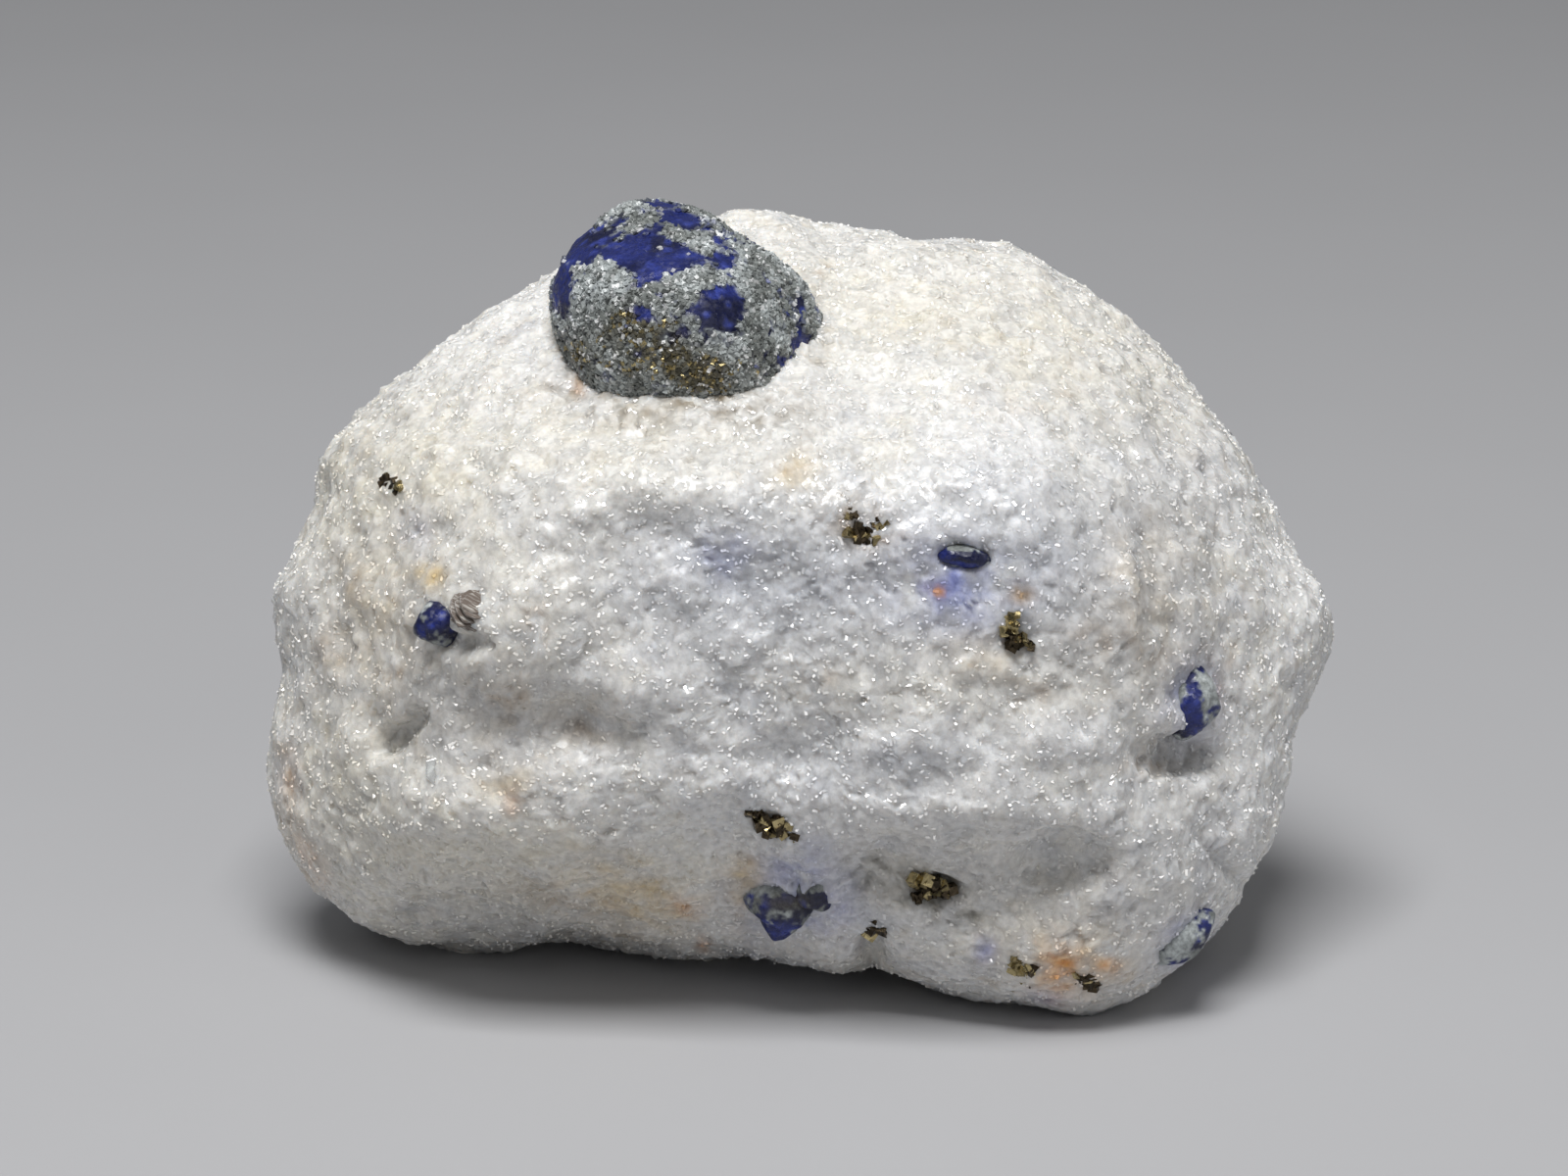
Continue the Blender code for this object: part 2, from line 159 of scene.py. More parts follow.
# Finer relief of the marble's front, each as (x, y, half length, half width,
# turn in degrees, height in millimetres, edge sharpness), placed in steps.
RELIEF = (
    (1085, 878, 50, 30, 0, -1.5, 2),
    (1205, 770, 44, 22, 4, -1.6, 2),
    (900, 890, 34, 18, 10, -1.0, 2),
    (950, 910, 30, 14, -10, -0.8, 2),
    (984, 568, 26, 14, 6, -1.0, 2),
    (1040, 648, 20, 20, 0, -0.5, 2),
    (470, 655, 34, 12, 10, -0.9, 2),
    (404, 748, 34, 12, -38, -1.4, 2),
    (790, 842, 24, 14, 25, -0.5, 2),
    (890, 968, 14, 16, 0, -1.3, 2),
    (1256, 886, 44, 8, 48, -1.0, 1),
    (1150, 605, 9, 42, 0, 0.7, 1),
    (600, 742, 50, 26, 20, -0.9, 1),
    (650, 700, 44, 30, 0, 0.7, 1),
    (740, 800, 70, 30, -8, 0.8, 1),
    (930, 760, 80, 26, 4, 0.8, 1),
    (1090, 760, 60, 24, 0, 0.7, 1),
    (500, 840, 100, 26, 10, 0.8, 1),
    (640, 860, 60, 26, 20, 0.6, 1),
)

# How a stain, or a patch of painted shade, breaks up into grains: its evenness, and
# how much the middle, the small and the fine mottling count.
SOFT = (0.9, 0.0, 0.3, 0.0)
USUAL = (0.75, 0.45, 0.5, 0.35)
GRITTY = (0.55, 0.0, 0.9, 0.9)
# Stains and tints of the marble, and painted shade in its undercut and hollows,
# each colour with its grain and its places as (x, y, half width, half height, turn
# in degrees, strength), placed in steps.
STAINS_AND_SHADE = (
    ("cream", SOFT, (
        (690, 470, 170, 50, 0, 0.45), (400, 500, 130, 120, 0, 0.55),
        (950, 320, 280, 80, 8, 0.45), (350, 800, 80, 120, 0, 0.45),
        (1040, 700, 180, 40, 0, 0.35), (520, 870, 200, 50, 8, 0.35),
    )),
    ("lilac", SOFT, (
        (800, 590, 220, 110, 0, 0.60), (1080, 560, 120, 110, 0, 0.55),
        (880, 780, 200, 60, 0, 0.35), (1190, 850, 100, 100, 0, 0.35),
    )),
    # Grey is partly greyish marble and partly painted shade: it darkens the lower-left
    # undercut, the hollow under the ledge and the hollow at the middle left.
    ("grey", SOFT, (
        (495, 725, 130, 45, 8, 0.45), (1000, 900, 150, 55, 8, 0.40),
        (1190, 560, 60, 120, 5, 0.25), (560, 940, 180, 50, 12, 0.35),
        (1100, 650, 60, 26, -20, 0.35),
    )),
    ("haze", USUAL, (
        (975, 598, 56, 38, 12, 0.70), (742, 566, 30, 22, 0, 0.35), (815, 915, 60, 50, 0, 0.55),
        (1208, 960, 26, 20, -40, 0.75), (1006, 970, 12, 14, 0, 0.60),
        (425, 540, 18, 24, 0, 0.30), (1215, 716, 36, 42, 0, 0.45),
        (1068, 1018, 22, 8, 10, 0.60),
    )),
    ("violet", USUAL, (
        (948, 598, 20, 11, 0, 0.70),
    )),
    ("yellow", USUAL, (
        (390, 640, 50, 80, 0, 0.30), (440, 586, 14, 12, 0, 0.80), (645, 915, 60, 34, 20, 0.60),
        (815, 482, 20, 18, 0, 0.85), (760, 900, 20, 30, 0, 0.60), (1090, 980, 60, 34, 0, 0.55),
        (520, 800, 40, 20, 0, 0.40), (1000, 670, 40, 20, 0, 0.35), (1170, 600, 50, 60, 0, 0.25),
    )),
    ("brown", GRITTY, (
        (546, 636, 12, 22, 10, 0.70), (1040, 607, 14, 10, 0, 0.75), (360, 592, 8, 12, 0, 0.60),
        (880, 535, 34, 22, 20, 0.65), (335, 660, 14, 24, -20, 0.40), (405, 690, 10, 8, 0, 0.60),
        (520, 712, 46, 26, 10, 0.35), (600, 740, 34, 24, 10, 0.35),
        (1140, 660, 46, 14, 20, 0.45), (1250, 690, 18, 30, 0, 0.35),
        (1020, 410, 40, 12, 10, 0.25), (1090, 400, 12, 8, 0, 0.40), (835, 275, 12, 6, 0, 0.50),
        (835, 690, 20, 14, 0, 0.35), (1050, 710, 30, 16, 0, 0.35), (1168, 780, 24, 14, 0, 0.45),
        (580, 920, 60, 14, 12, 0.35),
    )),
    ("rust", USUAL, (
        (1083, 990, 22, 26, 0, 0.95), (718, 964, 7, 6, 0, 0.90), (591, 394, 8, 10, 0, 0.70),
        (958, 604, 5, 5, 0, 0.80), (700, 925, 16, 10, 20, 0.45), (1130, 985, 14, 10, 0, 0.50),
        (522, 818, 8, 12, 0, 0.45), (296, 800, 12, 40, 0, 0.25), (320, 880, 14, 30, -20, 0.30),
    )),
    # Near-black marks: painted shade in the hollows of RELIEF, and in the recess under the
    # ledge partly its real dark grains.
    ("dark_grain_and_shade", GRITTY, (
        (890, 888, 28, 20, 10, 0.85), (950, 912, 30, 14, -8, 0.85),
        (980, 938, 26, 8, -20, 0.70), (470, 656, 30, 9, 8, 0.60), (403, 760, 26, 9, -38, 0.50),
        (1200, 768, 36, 18, 5, 0.45), (790, 842, 20, 12, 25, 0.55),
        (1040, 646, 14, 16, 0, 0.45),
    )),
    ("dust", GRITTY, (
        (700, 405, 120, 26, 6, 0.75), (640, 425, 60, 16, 6, 0.45),
        (590, 370, 20, 36, -10, 0.60), (770, 425, 36, 16, 20, 0.55),
        (832, 330, 14, 60, 0, 0.40),
    )),
)


def cyclic(table, angle):
    """The value of a closed table at each angle, along a smooth curve."""
    knots = np.radians([row[0] for row in table])
    values = np.array([row[1] for row in table], float)
    turn = 2.0 * math.pi
    angle = (angle - knots[0]) % turn + knots[0]
    at = np.searchsorted(knots, angle, side="right") + 1
    wide = np.concatenate([knots[-2:] - turn, knots, knots[:3] + turn])
    tall = np.concatenate([values[-2:], values, values[:3]])
    k0, k1, k2, k3 = wide[at - 1], wide[at], wide[at + 1], wide[at + 2]
    v0, v1, v2, v3 = tall[at - 1], tall[at], tall[at + 1], tall[at + 2]
    step = k2 - k1
    part = (angle - k1) / step
    rise_1 = (v2 - v0) / (k2 - k0) * step
    rise_2 = (v3 - v1) / (k3 - k1) * step
    return (
        (2 * part**3 - 3 * part**2 + 1) * v1
        + (part**3 - 2 * part**2 + part) * rise_1
        + (3 * part**2 - 2 * part**3) * v2
        + (part**3 - part**2) * rise_2
    )


def faces_out(table, across, up, side):
    """How far out the blended flat faces lie; side is 1 in front, -1 behind."""
    total = np.zeros_like(across)
    for x, y, out, slope_x, slope_y in table:
        plane = out + slope_x * (across - x) + slope_y * (up - y)
        total += np.exp(-side * BLEND * plane)
    return -side * np.log(total) / BLEND


def patch(x, y, mark):
    """How far inside an oval mark each point lies: 1 in its middle, 0 outside."""
    at_x, at_y, long, wide, turn, sharp = mark
    c = math.cos(math.radians(turn))
    s = math.sin(math.radians(turn))
    along = ((x - at_x) * c + (y - at_y) * s) / long
    over = ((y - at_y) * c - (x - at_x) * s) / wide
    return np.exp(-((along**2 + over**2) ** sharp))


def front_out(form, across, up):
    """How far out a form's front lies, with its swells and hollows."""
    out = faces_out(form.front, across, up, 1)
    for x, y, long, wide, turn, height, sharp in form.swells:
        out += height * patch(across, up, (x, y, long, wide, turn, sharp))
    return out


def skin(form, directions):
    """The skin of a body in each direction, as rows of (across, up, out)."""
    power = 2.0 / form.roundness
    level = np.hypot(directions[:, 0], directions[:, 1])
    depth = np.abs(directions[:, 2])
    size = (level**power + depth**power) ** (-1.0 / power)
    angle = np.arctan2(directions[:, 1], directions[:, 0])
    reach = cyclic(form.outline, angle) * level * size
    across = form.middle[0] + reach * np.cos(angle)
    up = form.middle[1] + reach * np.sin(angle)
    edge = cyclic(form.edge_out, angle)
    back = faces_out(form.back, across, up, -1)
    full = np.where(directions[:, 2] > 0, front_out(form, across, up), back)
    out = edge + (full - edge) * depth * size
    nearer = 1.0 - out / VIEW_DISTANCE
    return np.stack([across * nearer, up * nearer, out], axis=1)


def skin_at(x, y):
    """The point of the stone's front seen at a place of the view, in steps."""
    across = (x - VIEW_MIDDLE[0]) * STEP - STONE.middle[0]
    up = (VIEW_MIDDLE[1] - y) * STEP - STONE.middle[1]
    angle = math.atan2(up, across)
    level = math.hypot(across, up) / cyclic(STONE.outline, np.array([angle]))[0]
    level = min(level, 1.0)
    power = 2.0 / STONE.roundness
    depth = (1.0 - level**power) ** (1.0 / power)
    direction = (level * math.cos(angle), level * math.sin(angle), depth)
    return Vector(skin(STONE, np.array([direction]))[0])


def steps(points):
    """Where points are seen in the view, in steps from its top left."""
    nearer = (1.0 - points[:, 2] / VIEW_DISTANCE) * STEP
    x = VIEW_MIDDLE[0] + points[:, 0] / nearer
    return x, VIEW_MIDDLE[1] - points[:, 1] / nearer


def to_world():
    """The turn from (across, up, out) in millimetres to the frame in metres."""
    c = math.cos(VIEW_TILT)
    s = math.sin(VIEW_TILT)
    turn = Matrix(((1, 0, 0, 0), (0, s, -c, 0), (0, c, s, 0), (0, 0, 0, 1)))
    return Matrix.Scale(MM, 4) @ Matrix.Translation(VIEW_AT) @ turn


def scramble(i, j, k, seed):
    """A number from 0 to 1 for each corner of a lattice."""
    n = i * 73856093 ^ j * 19349663 ^ k * 83492791 ^ (seed + 7) * 2654435761
    n = (n ^ n >> 13) * 1274126177 & 0x7FFFFFFF
    n = (n ^ n >> 11) * 1103515245 & 0x7FFFFFFF
    return (n >> 8 & 0xFFFF) / 65535.0


def mottle(points, size, seed=0):
    """Smooth noise from -1 to 1 whose patches are about the given size."""
    where = points / size + 1000.0
    cell = np.floor(where).astype(np.int64)
    part = where - cell
    part = part * part * (3.0 - 2.0 * part)
    total = 0.0
    for corner in range(8):
        dx, dy, dz = corner & 1, corner >> 1 & 1, corner >> 2 & 1
        share = np.abs(1 - dx - part[:, 0])
        share = share * np.abs(1 - dy - part[:, 1]) * np.abs(1 - dz - part[:, 2])
        total = total + share * scramble(
            cell[:, 0] + dx, cell[:, 1] + dy, cell[:, 2] + dz, seed
        )
    return 2.0 * total - 1.0


def layers(points, table):
    """Noise in layers, each as (strength, size in millimetres, seed)."""
    return sum(strength * mottle(points, size, seed) for strength, size, seed in table)


def between(low, high, value):
    """0 below low, 1 above high and a smooth climb between."""
    part = np.clip((value - low) / (high - low), 0.0, 1.0)
    return part * part * (3.0 - 2.0 * part)


def blend(colours, other, share):
    """Colours mixed with another one by a share from 0 to 1 at each point."""
    return colours + (np.array(other) - colours) * np.clip(share, 0, 1)[:, None]


def read_points(mesh):
    """The places of a mesh's points, one row each."""
    points = np.empty(len(mesh.vertices) * 3)
    mesh.vertices.foreach_get("co", points)
    return points.reshape(-1, 3)


def write_points(mesh, points):
    """Moves a mesh's points to new places, one row each."""
    mesh.vertices.foreach_set("co", np.ascontiguousarray(points).ravel())
    mesh.update()


def triangles_of(mesh):
    """A mesh's triangles, as rows of three point numbers."""
    mesh.calc_loop_triangles()
    triangles = np.empty(len(mesh.loop_triangles) * 3, np.int64)
    mesh.loop_triangles.foreach_get("vertices", triangles)
    return triangles.reshape(-1, 3)


def paint(mesh, name, values):
    """Stores a number or a colour for each point of a mesh."""
    if values.ndim == 2:
        layer = mesh.attributes.new(name, "FLOAT_COLOR", "POINT")
        values = np.concatenate([values, np.ones((len(values), 1))], axis=1)
        layer.data.foreach_set("color", values.ravel())
    else:
        layer = mesh.attributes.new(name, "FLOAT", "POINT")
        layer.data.foreach_set("value", values)


def paint_blocks(mesh, name, values):
    """Stores a number or a colour for each eight-cornered block of a mesh."""
    paint(mesh, name, np.repeat(values, 8, axis=0))


def add_piece(name, mesh, material, slot, *nodes):
    """A finished piece of the stone, standing for the named solids."""
    mesh.name = name
    piece = bpy.data.objects.new(name, mesh)
    bpy.context.scene.collection.objects.link(piece)
    mesh.materials.append(material)
    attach(piece, "root")
    if nodes:
        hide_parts(*nodes)


def plain_mesh(bm):
    """The mesh of a bmesh, which is used up."""
    mesh = bpy.data.meshes.new("shape")
    bm.to_mesh(mesh)
    bm.free()
    return mesh


def mesh_of(bm):
    """The mesh of a closed bmesh shaped in (across, up, out) millimetres."""
    bmesh.ops.recalc_face_normals(bm, faces=bm.faces)
    bm.transform(to_world())
    return plain_mesh(bm)


def take_in(whole, bm):
    """Adds a bmesh, which is used up, to another one."""
    part = plain_mesh(bm)
    whole.from_mesh(part)
    bpy.data.meshes.remove(part)


def ball(subdivisions, cuts=0):
    """A ball of even triangles as a bmesh, and the direction of each point."""
    bm = bmesh.new()
    bmesh.ops.create_icosphere(bm, subdivisions=subdivisions, radius=1.0)
    if cuts:
        bmesh.ops.subdivide_edges(bm, edges=bm.edges[:], cuts=cuts, use_grid_fill=True)
    return bm, np.array([vert.co.normalized() for vert in bm.verts])


def points_of(bm):
    """The places of a bmesh's points, one row each."""
    return np.array([vert.co for vert in bm.verts])


def normals_of(bm):
    """The outward direction at each of a bmesh's points."""
    bm.normal_update()
    return np.array([vert.normal for vert in bm.verts])


def move_points(bm, points):
    """Moves a bmesh's points to new places, one row each."""
    for vert, point in zip(bm.verts, points, strict=True):
        vert.co = point


def raise_points(bm, points, height):
    """Moves a bmesh's points outwards, each by its own height."""
    points = points + normals_of(bm) * height[:, None]
    move_points(bm, points)
    return points


# The Mix node's sockets for colours: its factor and both colours, and its result.
MIX_SOCKETS = (0, 6, 7)
MIX_RESULT = 2
# The part of a value's range that is used: noise stays near its middle.
NEAR_MIDDLE = (0.3, 0.7)
WIDER = (0.25, 0.75)
WHOLE = (0.0, 1.0)


class Recipe:
    """A material whose nodes are added and joined one call at a time."""

    def __init__(self, name, **finish):
        self.material = bpy.data.materials.new(name)
        self.material.use_nodes = True
        self.tree = self.material.node_tree
        self.shader = self.tree.nodes["Principled BSDF"]
        for socket, value in finish.items():
            self.look(socket.replace("_", " "), value)

    def feed(self, socket, value):
        """Gives a socket a link or a plain value."""
        if isinstance(value, bpy.types.NodeSocket):
            self.tree.links.new(value, socket)
        else:
            socket.default_value = value

    def look(self, socket, value):
        """Gives one of the shader's own sockets a link or a plain value."""
        self.feed(self.shader.inputs[socket], value)

    def node(self, kind, settings=(), *values, **inputs):
        """A new node, with values for its first sockets or for named ones."""
        made = self.tree.nodes.new("ShaderNode" + kind)
        for name, value in dict(settings).items():
            setattr(made, name, value)
        for socket, value in zip(made.inputs, values):
            self.feed(socket, value)
        for name, value in inputs.items():
            self.feed(made.inputs[name.replace("_", " ")], value)
        return made

    def math(self, operation, first, second):
        return self.node("Math", {"operation": operation}, first, second).outputs[0]

    def vector(self, operation, first, second):
        return self.node("VectorMath", {"operation": operation}, first, second).outputs

    def span(self, value, low, high, to_low, to_high):
        """A value eased from one range to another."""
        settings = {"interpolation_type": "SMOOTHSTEP"}
        return self.node("MapRange", settings, value, low, high, to_low, to_high).outputs[0]

    def mix(self, share, first, second, kind="MIX"):
        """Two colours mixed by a share, or multiplied."""
        made = self.node("Mix", {"data_type": "RGBA", "blend_type": kind})
        for number, value in zip(MIX_SOCKETS, (share, first, second)):
            self.feed(made.inputs[number], value)
        return made.outputs[MIX_RESULT]

    def place(self):
        """The point being coloured, in the frame of the solids."""
        return self.node("TexCoord").outputs["Object"]

    def noise(self, size_mm, detail=2.0, rough=0.5):
        """Smooth noise with patches of about the given size."""
        return self.node(
            "TexNoise", Vector=self.place(), Scale=1.0 / (size_mm * MM), Detail=detail,
            Roughness=rough,
        ).outputs["Fac"]

    def cells(self, size_mm, place):
        return self.node("TexVoronoi", Vector=place, Scale=1.0 / (size_mm * MM)).outputs

    def luck(self, size_mm, channel="Green"):
        """A number from 0 to 1 that is the same all over each small cell."""
        cells = self.cells(size_mm, self.place())
        return self.node("SeparateColor", Color=cells["Color"]).outputs[channel]

    def grit(self, size_mm, height_mm, rough=0.5):
        """The height of fine roughness."""
        return self.math("MULTIPLY", self.noise(size_mm, 2.0, rough), height_mm * MM)

    def facets(self, size_mm, slope):
        """The height of small flat faces that each lean their own way."""
        place = self.place()
        cells = self.cells(size_mm, place)
        offset = self.vector("SUBTRACT", place, cells["Position"])[0]
        lean = self.vector("SUBTRACT", cells["Color"], (0.5, 0.5, 0.5))[0]
        height = self.vector("DOT_PRODUCT", offset, lean)["Value"]
        return self.math("MULTIPLY", height, slope)

    def bump(self, height):
        """Roughens the surface by a height in metres."""
        made = self.node("Bump", Height=height, Strength=1.0, Distance=1.0)
        self.look("Normal", made.outputs[0])

    def rough(self, value, used, smoothest, roughest):
        """Sets the roughness from a value, of which a part of the range is used."""
        self.look("Roughness", self.span(value, *used, smoothest, roughest))

    def coloured(self, value, used, darkest, lightest):
        """Colours the piece by its tint, darker or lighter by a value."""
        shade = self.span(value, *used, darkest, lightest)
        grey = self.node("CombineColor", Red=shade, Green=shade, Blue=shade).outputs[0]
        tint = self.node("Attribute", {"attribute_name": "tint"}).outputs["Color"]
        self.look("Base Color", self.mix(1.0, tint, grey, "MULTIPLY"))


# How wide the marble's small facets are in millimetres, and how far they lean.
MARBLE_FACET = 0.9
MARBLE_FACET_LEAN = 0.32


def marble_material():
    """White calcite marble: sugary facets that glint, and soft depth."""
    made = Recipe(
        "marble", IOR=1.6, Subsurface_Weight=1.0,
        Subsurface_Scale=bpy.context.scene.marble.depth,
        Subsurface_Radius=(1.0, 0.9, 0.8),
    )
    made.coloured(made.noise(0.45, 3.0, 0.6), NEAR_MIDDLE, darkest=0.86, lightest=1.08)
    made.rough(made.luck(MARBLE_FACET), WHOLE, smoothest=0.22, roughest=0.62)
    facets = made.facets(MARBLE_FACET, MARBLE_FACET_LEAN)
    made.bump(made.math("ADD", facets, made.grit(0.12, 0.02, 0.6)))
    return made.material


def glint_material():
    """Small cleavage faces of the calcite that catch the light."""
    made = Recipe("cleavage_glint", IOR=1.66)
    made.coloured(made.noise(0.2), NEAR_MIDDLE, darkest=0.92, lightest=1.06)
    made.rough(made.noise(0.6), NEAR_MIDDLE, smoothest=0.08, roughest=0.30)
    return made.material


# The marble's mottling, each as (size in millimetres, seed).
BROAD = (7.0, 1)
MIDDLE = (2.4, 2)
SMALL = (1.1, 3)
FINE = (0.55, 4)
# What it does to clean marble, each as (colour, strength, where the colour starts
# and where it is full). The first follows the broad and small mottling, the second
# the middle one and the third the middle and small ones.
MOTTLED = (
    ("cream", 0.30, -0.2, 0.9), ("lilac", 0.35, 0.0, 0.9), ("brown", 0.22, 0.35, 0.95),
)
PALEST = 0.97


def marble_tint(points, outward):
    """The colour of the marble at each point, with its stains and its painted shade in hollows.
    """
    kit = bpy.context.scene.marble
    colours = np.tile(np.array(kit.white), (len(points), 1))
    broad, middle, small, fine = (
        mottle(points, *layer) for layer in (BROAD, MIDDLE, SMALL, FINE)
    )
    amounts = (broad + small, middle, middle * 0.6 + small * 0.7)
    for (name, strength, low, high), amount in zip(MOTTLED, amounts, strict=True):
        colours = blend(colours, getattr(kit, name), strength * between(low, high, amount))
    x, y = steps(points)
    facing = between(-0.25, 0.15, outward)
    for name, grain, marks in STAINS_AND_SHADE:
        even, *shares = grain
        broken = even + sum(s * m for s, m in zip(shares, (middle, small, fine)))
        broken = np.clip(broken, 0.0, 1.6) * facing
        for *mark, strength in marks:
            share = strength * patch(x, y, (*mark, 1.0)) * broken
            colours = blend(colours, getattr(kit, name), share)
    colours *= (1.0 + 0.07 * small + 0.05 * fine)[:, None]
    return np.clip(colours, 0.0, PALEST)


# Broad waves of the whole skin, in millimetres.
WAVE_HEIGHT = 0.55
WAVE_LENGTH = 9.0
STONE_LUMPS = ((0.9, 3.6, 11), (0.6, 1.9, 12))
# How far the broken grains lean, stand out and reach at most.
GRAIN_LEAN = 0.17
GRAIN_RISE = 0.05
GRAIN_REACH = 0.35


def stone_shape():
    """The marble's skin in (across, up, out) millimetres, as a bmesh."""
    kit = bpy.context.scene.marble
    bm, directions = ball(5, kit.cuts)
    directions[:, 2] += kit.forward
    directions /= np.linalg.norm(directions, axis=1)[:, None]
    points = skin(STONE, directions)
    waves = [noise.noise(Vector(row) / WAVE_LENGTH) for row in points]
    points += directions * np.array(waves)[:, None] * WAVE_HEIGHT
    move_points(bm, points)
    x, y = steps(points)
    height = np.zeros(len(points))
    for *mark, rise, sharp in RELIEF:
        height += rise * patch(x, y, (*mark, sharp))
    height *= between(-0.1, 0.3, normals_of(bm)[:, 2])
    height += kit.relief * layers(points, STONE_LUMPS)
    points = raise_points(bm, points, height)
    raise_points(bm, points, grain_heights(points))
    upright = Vector((0.0, math.cos(VIEW_TILT), math.sin(VIEW_TILT)))
    bmesh.ops.bisect_plane(
        bm, geom=bm.verts[:] + bm.edges[:] + bm.faces[:], dist=1e-5,
        plane_co=upright * BOTTOM, plane_no=upright, clear_inner=True,
    )
    rim = [edge for edge in bm.edges if edge.is_boundary]
    bmesh.ops.contextual_create(bm, geom=rim)
    return bm


def grain_heights(points):
    """How far the broken grains stand out, as faces that lean their own way."""
    kit = bpy.context.scene.marble
    rng = np.random.default_rng(5)
    middles = points[rng.choice(len(points), kit.grains, replace=False)]
    tree = kdtree.KDTree(kit.grains)
    for number, middle in enumerate(middles):
        tree.insert(middle, number)
    tree.balance()
    nearest = np.array([tree.find(point)[1] for point in points])
    lean = rng.normal(size=(kit.grains, 3)) * GRAIN_LEAN
    rise = rng.normal(size=kit.grains) * GRAIN_RISE
    offset = points - middles[nearest]
    heights = rise[nearest] + np.einsum("ij,ij->i", offset, lean[nearest])
    return np.clip(heights, -GRAIN_REACH, GRAIN_REACH) * kit.grain_relief


def cube():
    """A little block, one unit across."""
    bm = bmesh.new()
    bmesh.ops.create_cube(bm, size=1.0)
    return bm


def rhomb():
    """A slanted cleavage block of calcite, about one unit across."""
    bm = cube()
    slant = Matrix(((1, 0, 0.25, 0), (0, 1, 0.25, 0), (0, 0, 0.9, 0), (0, 0, 0, 1)))
    bm.transform(slant)
    return bm


def repeat(bm, count):
    """Copies the one shape of a bmesh until it is there count times."""
    kinds = (bm.verts, bm.edges, bm.faces)
    each = [len(kind) for kind in kinds]
    made = 1
    while made < count:
        more = min(made, count - made)
        geom = []
        for kind, number in zip(kinds, each):
            kind.ensure_lookup_table()
            geom.extend(kind[: number * more])
        bmesh.ops.duplicate(bm, geom=geom)
        made += more


def frames(normals, lean, rng):
    """A turn for each place, whose third axis leans away from the normal."""
    up = normals + lean * rng.normal(size=normals.shape)
    up /= np.linalg.norm(up, axis=1)[:, None]
    side = np.cross(up, rng.normal(size=normals.shape))
    side /= np.linalg.norm(side, axis=1)[:, None]
    return np.stack([side, np.cross(up, side), up], axis=2)


def scattered(shape, places, turns, sizes, uneven, rng):
    """The mesh of many copies of a small shape, all a little different."""
    bm = shape()
    corners = points_of(bm)
    repeat(bm, len(places))
    mesh = plain_mesh(bm)
    corners = corners + uneven * rng.normal(size=(len(places), *corners.shape))
    corners = corners * sizes[:, None, :]
    points = np.einsum("nij,nvj->nvi", turns, corners) + places[:, None, :]
    world = np.array(to_world())
    write_points(mesh, points.reshape(-1, 3) @ world[:3, :3].T + world[:3, 3])
    return mesh


def seats(points, triangles, count, rng, keep):
    """Random places on a surface with their normals, where keep allows."""
    a, b, c = (points[triangles[:, k]] for k in range(3))
    across = np.cross(b - a, c - a)
    area = np.linalg.norm(across, axis=1)
    normals = across / np.maximum(area, 1e-12)[:, None]
    weight = area * keep((a + b + c) / 3.0, normals)
    chosen = rng.choice(len(triangles), count, p=weight / weight.sum())
    first = rng.random(count)
    second = rng.random(count)
    flip = first + second > 1.0
    first[flip] = 1.0 - first[flip]
    second[flip] = 1.0 - second[flip]
    a, b, c = a[chosen], b[chosen], c[chosen]
    return a + (b - a) * first[:, None] + (c - a) * second[:, None], normals[chosen]


def stone_surface():
    """The marble piece's points in (across, up, out) and its triangles."""
    mesh = bpy.data.objects["marble_stone"].data
    back = np.array(to_world().inverted())
    return read_points(mesh) @ back[:3, :3].T + back[:3, 3], triangles_of(mesh)


def colour(name, description, default):
    """A colour that the sidebar shows."""
    return FloatVectorProperty(
        name=name, description=description, subtype="COLOR", min=0.0, max=1.0,
        default=default,
    )


class MarbleSettings(bpy.types.PropertyGroup):
    """The sizes and colours of the marble"""

    cuts: IntProperty(
        name="Cuts", description="How finely the skin is divided", default=5, min=1, max=5
    )
    forward: FloatProperty(
        name="Finer in front", description="How much finer the front is than the back",
        default=0.3,
    )
    relief: FloatProperty(
        name="Relief", description="How high the lumps are, in millimetres", default=0.45
    )
    grains: IntProperty(
        name="Grains", description="How many broken grains show", default=14000, min=1
    )
    grain_relief: FloatProperty(
        name="Grain relief", description="How far the grains stand out", default=1.0
    )
    chips: IntProperty(
        name="Chips", description="How many cleavage chips each part has", default=7000, min=1
    )
    depth: FloatProperty(
        name="Depth", description="How deep light goes", default=0.0012, unit="LENGTH",
        precision=4,
    )
    white: colour("White", "Clean marble", (0.80, 0.79, 0.77))
    cream: colour("Cream", "Cream marble", (0.72, 0.67, 0.54))
    lilac: colour("Lilac", "Cool clear marble", (0.50, 0.52, 0.57))
    # Greyish marble, also used as painted shade in the undercut and the hollows.
    grey: colour("Grey", "Greyish marble", (0.45, 0.43, 0.40))
    haze: colour("Haze", "Marble with blue in it", (0.28, 0.32, 0.60))
    violet: colour("Violet", "Dark violet grains", (0.16, 0.14, 0.26))
    yellow: colour("Yellow", "Yellow stain", (0.62, 0.47, 0.24))
    brown: colour("Brown", "Brown stain", (0.34, 0.24, 0.15))
    rust: colour("Rust", "Rust stain", (0.62, 0.26, 0.04))
    # Near-black: painted shade in the marble's hollows, over the dark grains of the recess
    # under the ledge, and the darkness of the crystal's band.
    dark_grain_and_shade: colour("Olive", "Dark recesses", (0.09, 0.08, 0.05))
    dust: colour("Dust", "Fine dark grains", (0.20, 0.16, 0.11))


